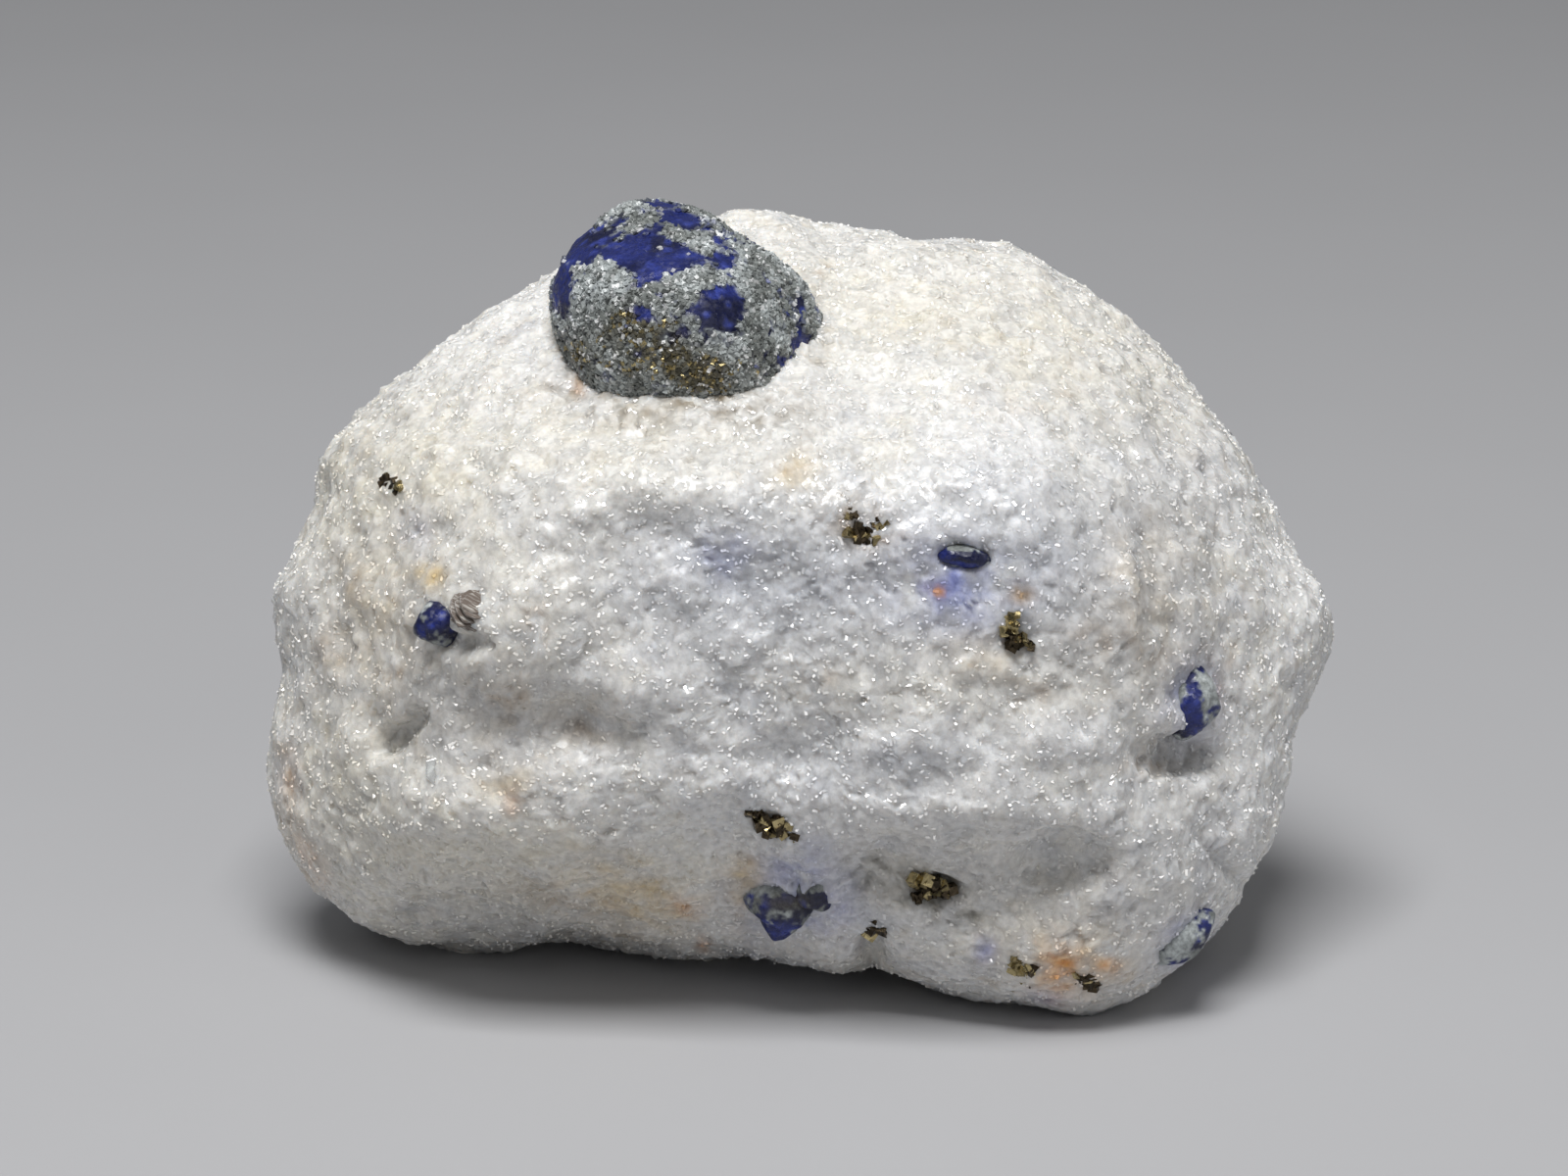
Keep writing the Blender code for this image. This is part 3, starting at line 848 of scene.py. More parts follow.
class CrystalSettings(bpy.types.PropertyGroup):
    """The colours of the lazurite and of what covers it"""

    deep: colour("Deep blue", "Darkest lazurite", (0.004, 0.006, 0.035))
    blue: colour("Blue", "Usual lazurite", (0.012, 0.020, 0.13))
    bright: colour("Bright blue", "Palest lazurite", (0.035, 0.055, 0.30))
    coat: colour("Coat", "White coat", (0.40, 0.43, 0.43))
    coat_grey: colour("Grey coat", "Grey-green coat", (0.13, 0.14, 0.13))
    crumbs: IntProperty(
        name="Crumbs", description="How many crumbs the coat has", default=14000, min=1
    )


class MetalSettings(bpy.types.PropertyGroup):
    """The colours of the pyrite and the mica"""

    gold: colour("Gold", "Fresh pyrite", (0.46, 0.38, 0.20))
    bronze: colour("Bronze", "Tarnished pyrite", (0.09, 0.07, 0.045))
    mica: colour("Mica", "Dark mica", (0.16, 0.13, 0.11))
    mica_pale: colour("Pale mica", "Streaks in the mica", (0.52, 0.50, 0.46))
    flash: colour("Flash", "The bright flake", (0.97, 0.97, 0.95))
    flash_dull: colour("Dull flash", "Duller places on the flake", (0.82, 0.84, 0.82))


class StageSettings(bpy.types.PropertyGroup):
    """The floor and the studio light"""

    floor: colour("Floor", "Floor colour", (0.42, 0.42, 0.43))
    key: FloatProperty(
        name="Key", description="Power of the key light", default=5.2, unit="POWER"
    )
    fill: FloatProperty(
        name="Fill", description="Power of the fill light", default=0.7, unit="POWER"
    )
    sky: FloatProperty(name="Sky", description="Strength of the room's light", default=0.16)


class MINERAL_OT_marble(bpy.types.Operator):
    """Make the marble lump with its broken granular skin"""

    bl_idname = "mineral.marble"
    bl_label = "Marble"

    def execute(self, context):
        bm = stone_shape()
        points = points_of(bm)
        outward = normals_of(bm)[:, 2]
        mesh = mesh_of(bm)
        paint(mesh, "tint", marble_tint(points, outward))
        mesh.shade_smooth()
        add_piece("marble_stone", mesh, marble_material(), "marble", "marble_matrix")
        return {"FINISHED"}


# The cleavage chips: least and most size in millimetres, their proportions, and
# how near the base they reach.
CHIP_SIZES = (0.10, 0.30)
CHIP_SHAPE = (1.4, 0.7, 0.4)
CHIPS_ABOVE_BASE = 1.2


class MINERAL_OT_marble_chips(bpy.types.Operator):
    """Set cleavage chips into the marble's skin"""

    bl_idname = "mineral.marble_chips"
    bl_label = "Marble chips"

    def execute(self, context):
        look = glint_material()
        surface = stone_surface()
        parts = {
            "left": lambda at, n: between(0.05, 0.25, n[:, 2]) * (at[:, 0] < 0),
            "right": lambda at, n: between(0.05, 0.25, n[:, 2]) * (at[:, 0] >= 0),
            "back": lambda at, n: between(0.15, -0.05, n[:, 2]),
        }
        for seed, (part, keep) in enumerate(parts.items()):
            rng = np.random.default_rng(20 + seed)
            mesh = self.chips(*seats(*surface, context.scene.marble.chips, rng, keep), rng)
            add_piece("marble_chips_" + part, mesh, look, "marble", "marble_matrix")
        return {"FINISHED"}

    def chips(self, at, normals, rng):
        """Chips almost flush with the skin, turned part of the way to the light."""
        size = rng.uniform(*CHIP_SIZES, len(at))
        sizes = size[:, None] * np.array(CHIP_SHAPE)
        at = at - normals * (size * 0.2 - 0.02)[:, None]
        height = at[:, 1] * math.cos(VIEW_TILT) + at[:, 2] * math.sin(VIEW_TILT)
        kept = height > BOTTOM + CHIPS_ABOVE_BASE
        at, normals, sizes = at[kept], normals[kept], sizes[kept]
        towards = np.array(GLINT_TO) + normals * rng.uniform(0.2, 3.0, (len(at), 1))
        turns = frames(towards / np.linalg.norm(towards, axis=1)[:, None], 0.08, rng)
        mesh = scattered(cube, at, turns, sizes, 0.05, rng)
        colours = marble_tint(at, normals[:, 2])
        # The chips are tinted lighter than the marble around them: a painted highlight on top
        # of their real gloss.
        colours *= rng.uniform(1.0, 1.25, len(at))[:, None]
        paint_blocks(mesh, "tint", np.clip(colours, 0.0, PALEST))
        return mesh


# The lower edge of the crystal's blue cap as (x, y) in steps, and its right edge
# as (x at the height y, y, how far it moves left for each step down).
CAP_EDGE = (
    (560, 320), (574, 312), (580, 290), (590, 270), (606, 268), (612, 262),
    (620, 269), (636, 273), (648, 281), (662, 285), (676, 279), (700, 276),
    (722, 280),
)
CAP_RIGHT = (757, 300, 0.12)
# White and grey patches on the crystal, and then the blue ones, each as
# (x, y, half length, half width, turn in degrees, strength) in steps.
COAT_MARKS = (
    (655, 224, 30, 11, -32, 1.2),
    (684, 237, 9, 8, 0, 1.0),
    (712, 248, 21, 11, 20, 1.3),
    (718, 281, 18, 9, 4, 1.3),
    (726, 232, 22, 9, 30, 0.5),
    (577, 269, 6, 6, 0, 0.7),
    (612, 268, 4, 10, 0, 1.0),
    (760, 275, 10, 34, -12, 0.9),
)
BLUE_MARKS = (
    (738, 316, 17, 22, 12, 1.6),
    (722, 305, 9, 10, 0, 0.8),
    (662, 282, 14, 6, 0, 0.8),
    (655, 322, 10, 9, 0, 0.7),
    (575, 300, 8, 24, 0, 1.2),
    (690, 345, 12, 10, 0, 0.6),
    (815, 350, 9, 10, 0, 1.2),
    (819, 379, 6, 6, 0, 1.3),
    (812, 312, 8, 16, 0, 0.6),
    (820, 366, 12, 20, 0, 0.5),
    (797, 368, 6, 5, 0, 0.7),
    (700, 322, 40, 20, 0, 0.25),
)
# The dark pyrite-rich band across the crystal's lower front, darkened partly as painted shade
# below the crystal's bulge, in the same way.
BAND_MARKS = (
    (640, 326, 15, 11, 30, 1.2),
    (650, 342, 18, 12, 35, 1.0),
    (672, 350, 26, 12, 28, 1.2),
    (702, 372, 26, 14, 35, 1.2),
    (716, 388, 22, 10, 10, 1.0),
    (590, 360, 8, 12, -15, 0.9),
    (614, 340, 10, 8, 0, 0.7),
    (683, 329, 7, 6, 20, 1.0),
    (730, 380, 18, 10, 0, 0.5),
    (650, 372, 60, 16, 12, 0.45),
    (740, 372, 60, 20, 10, 0.35),
)
# How the crystal's coat and band break up, each as (strength, size, seed).
RAGGED = ((5.0, 1.3, 31), (4.0, 0.5, 32))
COAT_SPECKLE = ((0.45, 0.8, 33), (0.35, 0.35, 34))
COAT_BEHIND = ((0.9, 3.0, 35), (0.4, 0.9, 36))
BAND_SPECKLE = ((0.9, 0.7, 37), (0.7, 0.3, 38))
COAT_GREYNESS = ((1.0, 1.8, 43), (0.6, 0.5, 44))
CRYSTAL_LUMPS = ((0.16, 2.6, 51), (0.09, 1.1, 52), (0.05, 0.4, 53))
COAT_THICKNESS = 0.10
# The coat's crumbs: least and most size in millimetres, and their proportions.
CRUMB_SIZES = (0.14, 0.42)
CRUMB_SHAPE = (1.0, 0.8, 0.7)


def ovals(x, y, marks):
    """The sum of oval marks at each point."""
    total = np.zeros_like(x)
    for *mark, strength in marks:
        total += strength * patch(x, y, (*mark, 1.0))
    return total


def crystal_cover(points):
    """How much coat and how much dark band the crystal has at each point."""
    x, y = steps(points)
    ragged = layers(points, RAGGED)
    below = between(-3.0, 3.0, y - np.interp(x, *np.array(CAP_EDGE, float).T) + ragged)
    right_x, right_y, slant = CAP_RIGHT
    right = between(-4.0, 4.0, x - right_x + slant * (y - right_y) + ragged)
    coat = np.maximum(below, right) * 0.95
    coat += ovals(x, y, COAT_MARKS)
    coat -= 1.4 * ovals(x, y, BLUE_MARKS)
    coat += layers(points, COAT_SPECKLE) - 0.12
    front = between(9.0, 12.0, points[:, 2])
    behind = 0.5 + layers(points, COAT_BEHIND) + between(20.0, 13.0, points[:, 1])
    coat = coat * front + behind * (1.0 - front)
    band = ovals(x, y, BAND_MARKS) * front * (0.8 + layers(points, BAND_SPECKLE))
    return between(0.25, 0.6, coat), np.clip(band, 0.0, 1.0)


def crystal_tint(points, coat, band):
    """The colour of lazurite under its coat and its dark band."""
    kit = bpy.context.scene.crystal
    colours = np.tile(np.array(kit.blue), (len(points), 1))
    colours = blend(colours, kit.deep, between(-0.3, 0.5, mottle(points, 2.2, 41)))
    colours = blend(colours, kit.bright, 0.7 * between(0.1, 0.8, mottle(points, 0.7, 42)))
    white = np.tile(np.array(kit.coat), (len(points), 1))
    greyness = between(-0.6, 0.5, layers(points, COAT_GREYNESS))
    white = blend(white, kit.coat_grey, 0.8 * greyness)
    colours = colours + (white - colours) * coat[:, None]
    # The band takes the near-black colour of dark grains and painted shade: pyrite-rich, and
    # partly painted shade below the crystal's bulge.
    return blend(colours, bpy.context.scene.marble.dark_grain_and_shade, band)


class MINERAL_OT_crystal(bpy.types.Operator):
    """Make the large blue crystal with its coat and dark band"""

    bl_idname = "mineral.crystal"
    bl_label = "Large crystal"

    def execute(self, context):
        bm, directions = ball(7)
        points = skin(CRYSTAL, directions)
        move_points(bm, points)
        coat, band = crystal_cover(points)
        height = layers(points, CRYSTAL_LUMPS) + COAT_THICKNESS * coat
        points = raise_points(bm, points, height)
        mesh = mesh_of(bm)
        paint(mesh, "tint", crystal_tint(points, coat, band))
        mesh.shade_smooth()
        crumbs = self.crumbs(context, points, triangles_of(mesh))
        for name, made, look in (
            ("lazurite_crystal_skin", mesh, blue_material()),
            ("lazurite_coat", crumbs, crumb_material()),
        ):
            add_piece(name, made, look, "lazurite", "lazurite_crystal")
        return {"FINISHED"}

    def crumbs(self, context, points, triangles):
        """The crumbs of the coat and of the band, some of them bright pyrite."""
        rng = np.random.default_rng(60)

        def keep(at, normals):
            return np.maximum(*crystal_cover(at)) * between(-0.5, 0.1, normals[:, 2])

        at, normals = seats(points, triangles, context.scene.crystal.crumbs, rng, keep)
        coat, band = crystal_cover(at)
        sizes = rng.uniform(*CRUMB_SIZES, len(at))[:, None] * np.array(CRUMB_SHAPE)
        turns = frames(normals, 0.5, rng)
        colours = crystal_tint(at, coat, band)
        luck = rng.random(len(at))
        dark = luck < 0.10
        pale = luck > 0.9
        colours[dark] = colours[dark] * 0.35
        colours[pale] = colours[pale] * 0.4 + 0.5
        colours *= rng.uniform(0.8, 1.2, len(at))[:, None]
        metal = (rng.random(len(at)) < 0.20) & (band > 0.25)
        colours[metal] = np.array(context.scene.metal.gold) * 0.8
        mesh = scattered(rhomb, at, turns, sizes, 0.08, rng)
        paint_blocks(mesh, "tint", np.clip(colours, 0.0, 0.95))
        paint_blocks(mesh, "metal", metal.astype(float))
        return mesh


def blue_material():
    """Lazurite with small bright facets."""
    made = Recipe("lazurite", IOR=1.5)
    made.coloured(made.noise(0.25, 3.0, 0.6), WIDER, darkest=0.7, lightest=1.3)
    made.rough(made.luck(0.3), WHOLE, smoothest=0.25, roughest=0.6)
    made.bump(made.math("ADD", made.facets(0.35, 0.5), made.grit(0.1, 0.02, 0.6)))
    return made.material


def crumb_material():
    """Small crumbs, each in its own colour, some of them metal."""
    made = Recipe("coat_crumbs", IOR=1.55)
    made.coloured(made.noise(0.1, 2.0, 0.6), WIDER, darkest=0.85, lightest=1.15)
    made.look("Metallic", made.node("Attribute", {"attribute_name": "metal"}).outputs["Fac"])
    made.rough(made.noise(0.2), NEAR_MIDDLE, smoothest=0.2, roughest=0.5)
    made.bump(made.grit(0.08, 0.01))
    return made.material


# The twelve faces of a dodecahedron, which the blue grains are rounded from.
DODECAHEDRON = (
    (1, 1, 0), (1, -1, 0), (-1, 1, 0), (-1, -1, 0), (1, 0, 1), (1, 0, -1),
    (-1, 0, 1), (-1, 0, -1), (0, 1, 1), (0, 1, -1), (0, -1, 1), (0, -1, -1),
)
# How sharp the edges between those faces are.
GRAIN_EDGES = 7.0
GRAIN_LUMPS = ((0.12, 0.9, 61), (0.07, 0.4, 62))
GRAIN_SPECKLE = ((0.5, 0.8, 63), (0.4, 0.3, 64))

# Blue grains, each a solid's name and its rounded crystals as (x, y, sunk, half
# width, half height, half depth, turn): places in steps, sizes in millimetres.
BLUE_GRAINS = (
    ("lazurite_grain_left", ((448.6, 635.1, 0.5, 1.7, 1.5, 1.5, 20),)),
    ("lazurite_grain_centre", ((982.4, 567.6, 0.6, 1.8, 0.8, 1.1, -8),)),
    ("lazurite_grain_right", ((1213.5, 716.2, 1.1, 2.1, 2.5, 2.1, -12),)),
    ("lazurite_grain_lower", (
        (800.0, 914.9, 1.0, 2.6, 2.3, 1.8, 10),
        (832.4, 908.1, 0.8, 1.6, 1.5, 1.3, 40),
        (795.9, 937.8, -0.2, 1.4, 1.3, 1.5, 75),
    )),
    ("lazurite_grain_edge", ((1205.4, 956.8, 1.1, 2.7, 1.6, 1.6, 38),)),
)
# Colours on the blue grains, each as (kind, x, y, half length, half width, turn,
# strength) in steps, and how much bluer or less blue each kind is.
GRAIN_MARKS = (
    ("blue", 448, 636, 16, 13, 0, 1.0),
    ("blue", 470, 632, 8, 6, 0, 0.7),
    ("blue", 982, 568, 22, 8, 8, 1.2),
    ("coat", 980, 560, 14, 4, 6, 1.0),
    ("blue", 1212, 733, 14, 13, 20, 1.3),
    ("blue", 1216, 705, 5, 20, -12, 1.0),
    ("coat", 1200, 700, 12, 16, 0, 0.8),
    ("coat", 1234, 705, 10, 18, 0, 0.8),
    ("blue", 805, 887, 10, 8, 0, 0.8),
    ("coat", 836, 905, 8, 7, 0, 0.8),
    ("blue", 836, 918, 14, 6, 0, 0.9),
    ("deep", 802, 920, 22, 8, 0, 0.9),
    ("blue", 795, 950, 8, 10, 0, 1.4),
    ("coat", 772, 905, 14, 9, 0, 1.1),
    ("coat", 1207, 958, 18, 12, -38, 0.9),
)
BLUER = {"blue": 1.0, "coat": -1.1, "deep": 0.4}


def grain_shape(at, half_size, turn):
    """A dodecahedron with rounded edges, turned in the plane of the view."""
    normals = np.array([Vector(face).normalized() for face in DODECAHEDRON])
    bm, directions = ball(5)
    facing = np.maximum(directions @ normals.T, 0.0)
    reach = (facing**GRAIN_EDGES).sum(axis=1) ** (-1.0 / GRAIN_EDGES)
    move_points(bm, directions * reach[:, None] * np.array(half_size))
    spin = Matrix.Rotation(math.radians(turn), 4, "Z")
    bm.transform(Matrix.Translation(at) @ spin)
    points = points_of(bm)
    raise_points(bm, points, layers(points, GRAIN_LUMPS))
    return bm


class MINERAL_OT_blue_grains(bpy.types.Operator):
    """Make the small blue grains around the stone"""

    bl_idname = "mineral.blue_grains"
    bl_label = "Blue grains"

    def execute(self, context):
        look = blue_material()
        for name, crystals in BLUE_GRAINS:
            whole = bmesh.new()
            for x, y, sunk, wide, tall, deep, turn in crystals:
                at = skin_at(x, y) - Vector((0.0, 0.0, sunk))
                take_in(whole, grain_shape(at, (wide, tall, deep), turn))
            points = points_of(whole)
            mesh = mesh_of(whole)
            paint(mesh, "tint", self.tint(points))
            mesh.shade_smooth()
            add_piece(name + "_skin", mesh, look, "lazurite", name)
        return {"FINISHED"}

    def tint(self, points):
        """The mottled colour of a small grain at each point."""
        x, y = steps(points)
        blue = 0.4 + layers(points, GRAIN_SPECKLE)
        deep = np.zeros(len(points))
        for kind, *mark in GRAIN_MARKS:
            share = ovals(x, y, (mark,))
            blue += BLUER[kind] * share
            deep += share * (kind == "deep")
        return crystal_tint(points, between(0.55, 0.2, blue), np.clip(deep, 0.0, 0.6))


# Pyrite, each a solid's name and its groups as (x, y, half width, half height,
# turn, how many, least size, most size, share of fresh gold), places in steps
# and sizes in millimetres.
PYRITE = (
    ("pyrite_specks_left", (
        (395, 491, 5, 5, 0, 12, 0.3, 0.8, 0.1), (406, 498, 4, 4, 0, 8, 0.3, 0.6, 0.1),
    )),
    ("pyrite_cluster_upper", (
        (868, 522, 10, 6, 30, 10, 0.25, 0.5, 0.3), (880, 545, 13, 6, 10, 22, 0.3, 0.8, 0.25),
        (898, 536, 6, 5, 0, 8, 0.25, 0.5, 0.2),
    )),
    ("pyrite_cluster_centre", (
        (1033, 634, 6, 6, 0, 10, 0.3, 0.7, 0.6), (1031, 646, 5, 8, 0, 12, 0.3, 0.8, 0.6),
        (1042, 656, 11, 5, 8, 18, 0.35, 0.9, 0.5),
    )),
    ("pyrite_cluster_ledge", (
        (778, 836, 9, 7, 30, 16, 0.3, 0.9, 0.25), (792, 844, 12, 8, 20, 24, 0.4, 1.1, 0.25),
        (806, 850, 6, 5, 0, 8, 0.3, 0.7, 0.3), (762, 820, 6, 3, 0, 4, 0.3, 0.5, 0.4),
    )),
    ("pyrite_cluster_hollow", (
        (950, 903, 14, 7, -5, 26, 0.3, 0.9, 0.5), (964, 909, 10, 6, 0, 14, 0.3, 0.8, 0.4),
        (938, 914, 10, 6, 0, 10, 0.3, 0.7, 0.2),
    )),
    ("pyrite_grain_dark", ((889, 943, 6, 8, 0, 12, 0.6, 1.3, 0.05),)),
    ("pyrite_cluster_base", (
        (1040, 984, 8, 6, 0, 18, 0.3, 0.9, 0.7), (1048, 995, 8, 9, 0, 26, 0.4, 1.0, 0.75),
        (1040, 1004, 7, 4, 0, 8, 0.3, 0.6, 0.6),
    )),
    ("pyrite_cluster_base_right", (
        (1100, 994, 8, 9, 0, 20, 0.4, 1.0, 0.5), (1114, 996, 10, 9, 0, 30, 0.4, 1.2, 0.08),
    )),
)
# How far a group's cubes spread, as a share of its half width and half height.
PYRITE_SPREAD = 0.6


def metal_material():
    """Pyrite, each small cell of it lighter or darker."""
    made = Recipe("pyrite", Metallic=1.0)
    made.coloured(made.luck(0.35, "Red"), WHOLE, darkest=0.6, lightest=1.25)
    made.rough(made.noise(0.3, 3.0), NEAR_MIDDLE, smoothest=0.18, roughest=0.45)
    made.bump(made.grit(0.1, 0.02))
    return made.material


class MINERAL_OT_pyrite(bpy.types.Operator):
    """Make the pyrite clusters"""

    bl_idname = "mineral.pyrite"
    bl_label = "Pyrite"

    def execute(self, context):
        look = metal_material()
        for seed, (name, groups) in enumerate(PYRITE):
            mesh = self.cluster(context, groups, np.random.default_rng(80 + seed))
            slot = "dark_pyrite" if name == "pyrite_grain_dark" else "pyrite"
            add_piece(name + "_cubes", mesh, look, slot, name)
        return {"FINISHED"}

    def cluster(self, context, groups, rng):
        """The cubes of one cluster, set into the stone's front."""
        kit = context.scene.metal
        places, sizes, tints = [], [], []
        for x, y, wide, tall, turn, count, least, most, fresh in groups:
            c = math.cos(math.radians(turn))
            s = math.sin(math.radians(turn))
            for _ in range(count):
                along, over = rng.normal(size=2) * PYRITE_SPREAD
                dx = along * wide * c - over * tall * s
                dy = along * wide * s + over * tall * c
                size = least + (most - least) * rng.random() ** 1.5
                spot = skin_at(x + dx, y + dy)
                spot.z -= size * 0.1
                places.append(spot)
                sizes.append(size)
                metal = kit.gold if rng.random() < fresh else kit.bronze
                tints.append(np.array(metal) * rng.uniform(0.6, 1.2))
        places = np.array(places)
        sizes = np.array(sizes)[:, None] * rng.uniform(0.75, 1.1, (len(places), 3))
        turns = frames(rng.normal(size=places.shape), 0.5, rng)
        mesh = scattered(cube, places, turns, sizes, 0.03, rng)
        paint_blocks(mesh, "tint", np.clip(np.array(tints), 0.0, 1.0))
        return mesh


# Mica plates, each as (x, y, sunk, half width, half height, turn), how they lean
# about the across and the up axis in degrees, and their thickness.
MICA_PLATES = (
    (483.8, 623.0, 1.2, 2.1, 1.7, 10),
    (482.4, 622.0, 0.85, 2.0, 1.6, 22),
    (481.1, 620.3, 0.6, 1.9, 1.5, 35),
    (483.0, 619.0, 0.35, 1.7, 1.4, 5),
    (486.5, 617.6, 0.1, 1.5, 1.2, -15),
    (484.5, 616.0, -0.1, 1.2, 0.9, 12),
)
MICA_LEAN = (-24.0, 22.0)
MICA_THICKNESS = 0.26
MICA_CORNERS = 9
# The bright flake's place in steps and its corners in millimetres from there.
FLAKE_AT = (451.4, 789.2)
FLAKE_SUNK = 0.05
FLAKE_CORNERS = (
    (-1.2, 0.9), (-0.1, 1.2), (0.7, 0.7), (1.15, -0.1), (1.1, -0.8),
    (0.5, -1.1), (-0.6, -1.0), (-1.2, -0.3),
)
FLAKE_THICKNESS = 0.45
FLAKE_LEAN = (-12.0, 8.0)


def plate(at, corners, thickness, turn, lean):
    """A flat plate with eased edges, as a bmesh."""
    bm = bmesh.new()
    verts = [bm.verts.new((x, y, -thickness / 2)) for x, y in corners]
    face = bm.faces.new(verts)
    top = bmesh.ops.extrude_face_region(bm, geom=[face])
    risen = [part for part in top["geom"] if isinstance(part, bmesh.types.BMVert)]
    bmesh.ops.translate(bm, verts=risen, vec=(0, 0, thickness))
    bmesh.ops.bevel(
        bm, geom=bm.edges[:], affect="EDGES", offset=thickness * 0.15, segments=2,
        profile=0.5, material=-1,
    )
    turned = Matrix.Rotation(math.radians(turn), 4, "Z")
    leant = Matrix.Rotation(math.radians(lean[1]), 4, "Y")
    leant = leant @ Matrix.Rotation(math.radians(lean[0]), 4, "X")
    bm.transform(Matrix.Translation(at) @ leant @ turned)
    return bm


def mica_material():
    """Dark mica with fine pale streaks along its plates."""
    kit = bpy.context.scene.metal
    made = Recipe("mica", IOR=1.6)
    stretched = made.node(
        "Mapping", Vector=made.place(), Rotation=(0.3, 0.9, 0.5), Scale=(1.0, 9.0, 1.0)
    ).outputs[0]
    streaks = made.node(
        "TexNoise", Vector=stretched, Scale=900.0, Detail=3.0
    ).outputs["Fac"]
    share = made.span(streaks, 0.5, 0.68, 0.0, 0.75)
    made.look("Base Color", made.mix(share, (*kit.mica, 1.0), (*kit.mica_pale, 1.0)))
    made.rough(streaks, NEAR_MIDDLE, smoothest=0.15, roughest=0.4)
    made.bump(made.math("MULTIPLY", streaks, 0.04 * MM))
    return made.material


def flash_material():
    """The bright flake, a little cloudy."""
    kit = bpy.context.scene.metal
    made = Recipe("bright_mica", Metallic=0.75, IOR=1.6)
    cloud = made.noise(0.9, 3.0)
    share = made.span(cloud, 0.35, 0.65, 0.0, 1.0)
    made.look("Base Color", made.mix(share, (*kit.flash, 1.0), (*kit.flash_dull, 1.0)))
    made.rough(cloud, NEAR_MIDDLE, smoothest=0.12, roughest=0.32)
    made.bump(made.grit(0.5, 0.02))
    return made.material


class MINERAL_OT_mica(bpy.types.Operator):
    """Make the dark mica book and the bright flake"""

    bl_idname = "mineral.mica"
    bl_label = "Mica"

    def execute(self, context):
        add_piece("mica_plates", self.book(), mica_material(), "mica", "mica_book_left")
        at = skin_at(*FLAKE_AT) - Vector((0.0, 0.0, FLAKE_SUNK))
        flake = mesh_of(plate(at, FLAKE_CORNERS, FLAKE_THICKNESS, 0.0, FLAKE_LEAN))
        add_piece("bright_flake", flake, flash_material(), "bright_mica", "mica_flake_bright")
        return {"FINISHED"}

    def book(self):
        """Ragged plates lying on each other."""
        rng = np.random.default_rng(90)
        whole = bmesh.new()
        for x, y, sunk, wide, tall, turn in MICA_PLATES:
            corners = []
            for k in range(MICA_CORNERS):
                angle = math.radians(360 / MICA_CORNERS * k + rng.uniform(-9, 9))
                reach = rng.uniform(0.85, 1.05)
                corners.append(
                    (wide * reach * math.cos(angle), tall * reach * math.sin(angle))
                )
            at = skin_at(x, y) - Vector((0.0, 0.0, sunk))
            take_in(whole, plate(at, corners, MICA_THICKNESS, turn, MICA_LEAN))
        return mesh_of(whole)


# The lights, each as (place from the middle of the view, width and height), in
# metres, and the colour of the room's light.
KEY_LIGHT = ((-0.05, -0.24, 0.64), (0.34, 0.26))
FILL_LIGHT = ((0.55, -0.55, 0.30), (0.6, 0.6))
ROOM_COLOUR = (0.95, 0.97, 1.0, 1.0)
FLOOR_RADIUS = 6.0
SENSOR_WIDTH = 36.0
LENS = 121.6


def add_object(name, data):
    """A new object of the scene that isn't a piece of the stone."""
    thing = bpy.data.objects.new(name, data)
    bpy.context.scene.collection.objects.link(thing)
    return thing


def aim(thing, where, target):
    """Puts a light or the camera in its place, turned to the target."""
    thing.location = where
    thing.rotation_euler = (target - where).to_track_quat("-Z", "Y").to_euler()


def add_light(name, light, power, target):
    """A soft rectangular light."""
    where, size = light
    lamp = bpy.data.lights.new(name, "AREA")
    lamp.shape = "RECTANGLE"
    lamp.size, lamp.size_y = size
    lamp.energy = power
    aim(add_object(name, lamp), target + Vector(where), target)


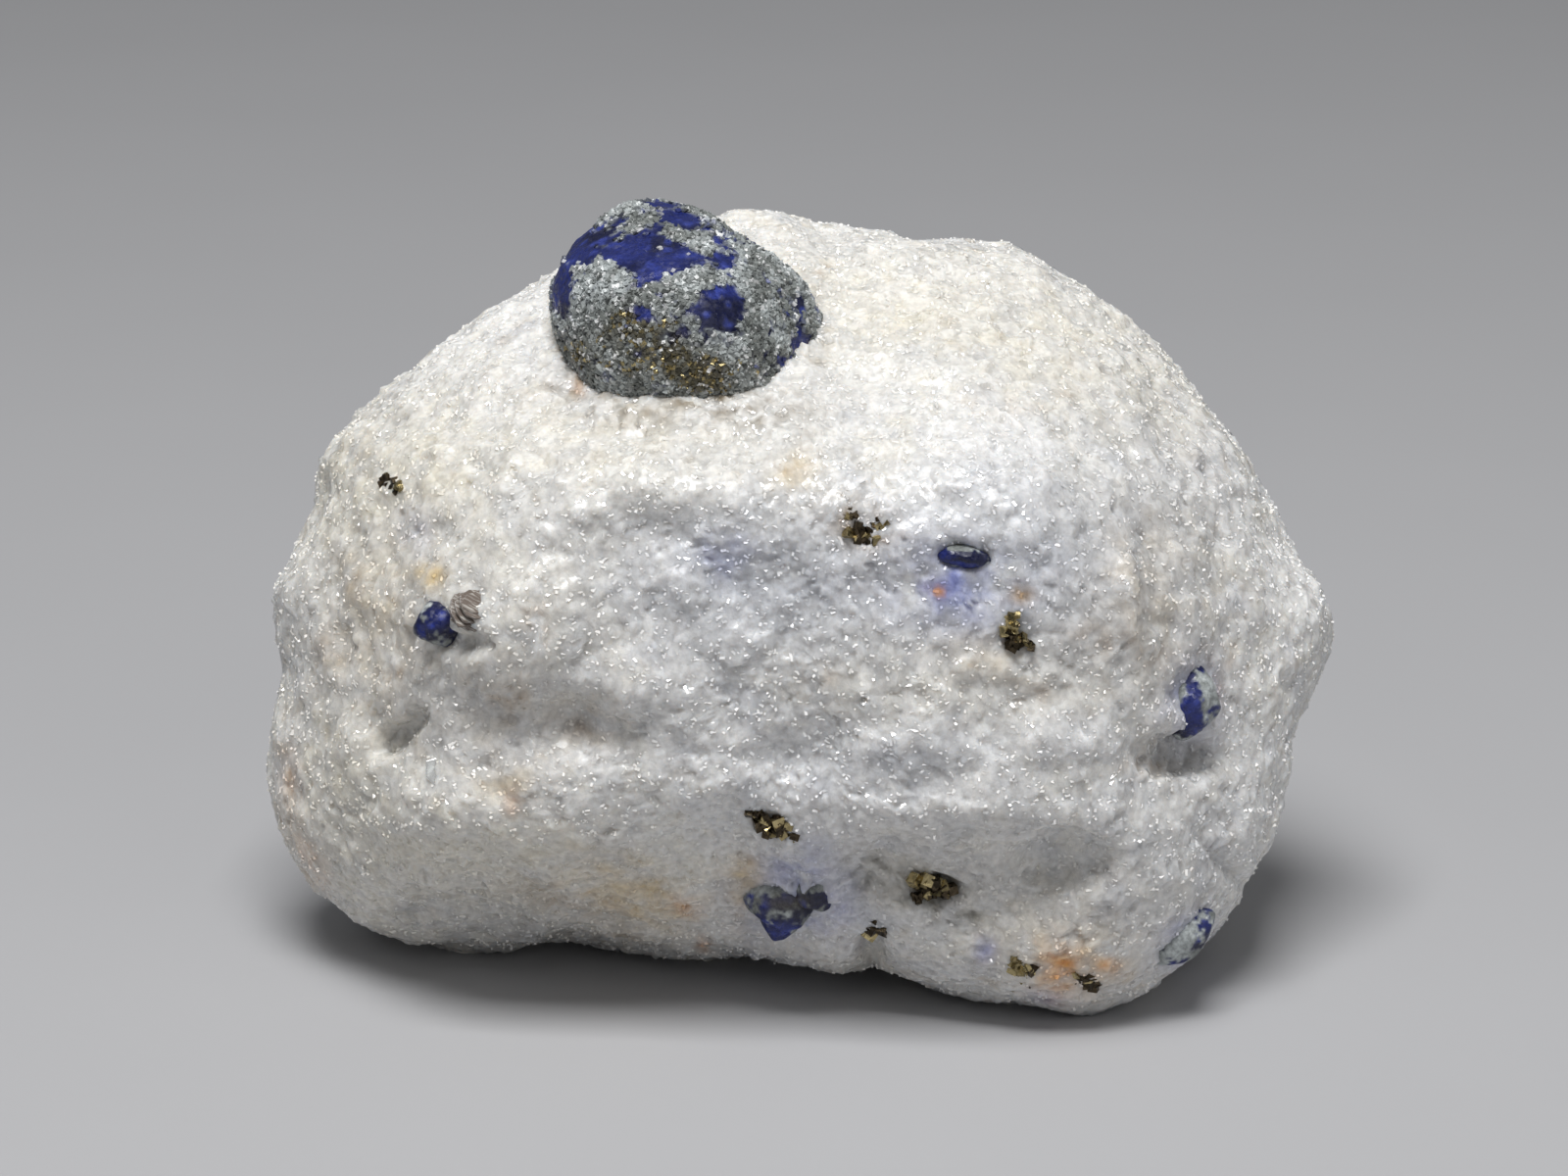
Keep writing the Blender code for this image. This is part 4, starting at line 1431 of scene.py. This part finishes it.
class MINERAL_OT_stage(bpy.types.Operator):
    """Make the floor, the studio light and the camera"""

    bl_idname = "mineral.stage"
    bl_label = "Stage"

    def execute(self, context):
        kit = context.scene.stage
        target = Vector(VIEW_AT) * MM
        self.add_floor(kit)
        add_light("key", KEY_LIGHT, kit.key, target)
        add_light("fill", FILL_LIGHT, kit.fill, target)
        world = bpy.data.worlds.new("room")
        context.scene.world = world
        world.use_nodes = True
        sky = world.node_tree.nodes["Background"]
        sky.inputs["Color"].default_value = ROOM_COLOUR
        sky.inputs["Strength"].default_value = kit.sky
        camera = bpy.data.cameras.new("camera")
        camera.sensor_width = SENSOR_WIDTH
        camera.lens = LENS
        camera.clip_start = 0.01
        camera.clip_end = 30.0
        eye = add_object("camera", camera)
        towards = Vector((0.0, -math.cos(VIEW_TILT), math.sin(VIEW_TILT)))
        aim(eye, target + towards * VIEW_DISTANCE * MM, target)
        context.scene.camera = eye
        context.scene.view_settings.view_transform = "Standard"
        return {"FINISHED"}

    def add_floor(self, kit):
        """A plain floor, round and wide enough to fill the view."""
        bm = bmesh.new()
        bmesh.ops.create_circle(bm, cap_ends=True, segments=96, radius=FLOOR_RADIUS)
        floor = add_object("floor", plain_mesh(bm))
        made = Recipe("floor", Roughness=0.8, Specular_IOR_Level=0.2)
        paler = tuple(1.04 * value for value in kit.floor)
        colour = made.mix(made.noise(40.0), (*kit.floor, 1.0), (*paler, 1.0))
        made.look("Base Color", colour)
        floor.data.materials.append(made.material)


class VIEW3D_PT_mineral(bpy.types.Panel):
    """The settings and the steps of the stone"""

    bl_label = "Lazurite in marble"
    bl_idname = "VIEW3D_PT_mineral"
    bl_space_type = "VIEW_3D"
    bl_region_type = "UI"
    bl_category = "Mineral"

    def draw(self, context):
        for group in SETTINGS:
            box = self.layout.box()
            box.label(text=group.__doc__)
            settings = getattr(context.scene, SETTINGS[group])
            for name in group.__annotations__:
                box.prop(settings, name)
        for operator in OPERATORS:
            self.layout.operator(operator.bl_idname)


SETTINGS = {
    MarbleSettings: "marble",
    CrystalSettings: "crystal",
    MetalSettings: "metal",
    StageSettings: "stage",
}
OPERATORS = (
    MINERAL_OT_marble,
    MINERAL_OT_marble_chips,
    MINERAL_OT_crystal,
    MINERAL_OT_blue_grains,
    MINERAL_OT_pyrite,
    MINERAL_OT_mica,
    MINERAL_OT_stage,
)


def register():
    """Makes the settings, the operators and the panel known."""
    for group, name in SETTINGS.items():
        bpy.utils.register_class(group)
        setattr(bpy.types.Scene, name, PointerProperty(type=group))
    for operator in OPERATORS:
        bpy.utils.register_class(operator)
    bpy.utils.register_class(VIEW3D_PT_mineral)


def unregister():
    """Takes back what register did."""
    bpy.utils.unregister_class(VIEW3D_PT_mineral)
    for operator in reversed(OPERATORS):
        bpy.utils.unregister_class(operator)
    for group, name in SETTINGS.items():
        delattr(bpy.types.Scene, name)
        bpy.utils.unregister_class(group)


def main():
    """Makes every piece in order."""
    register()
    bpy.ops.mineral.marble()
    bpy.ops.mineral.marble_chips()
    bpy.ops.mineral.crystal()
    bpy.ops.mineral.blue_grains()
    bpy.ops.mineral.pyrite()
    bpy.ops.mineral.mica()
    bpy.ops.mineral.stage()


if __name__ == "__main__":
    main()
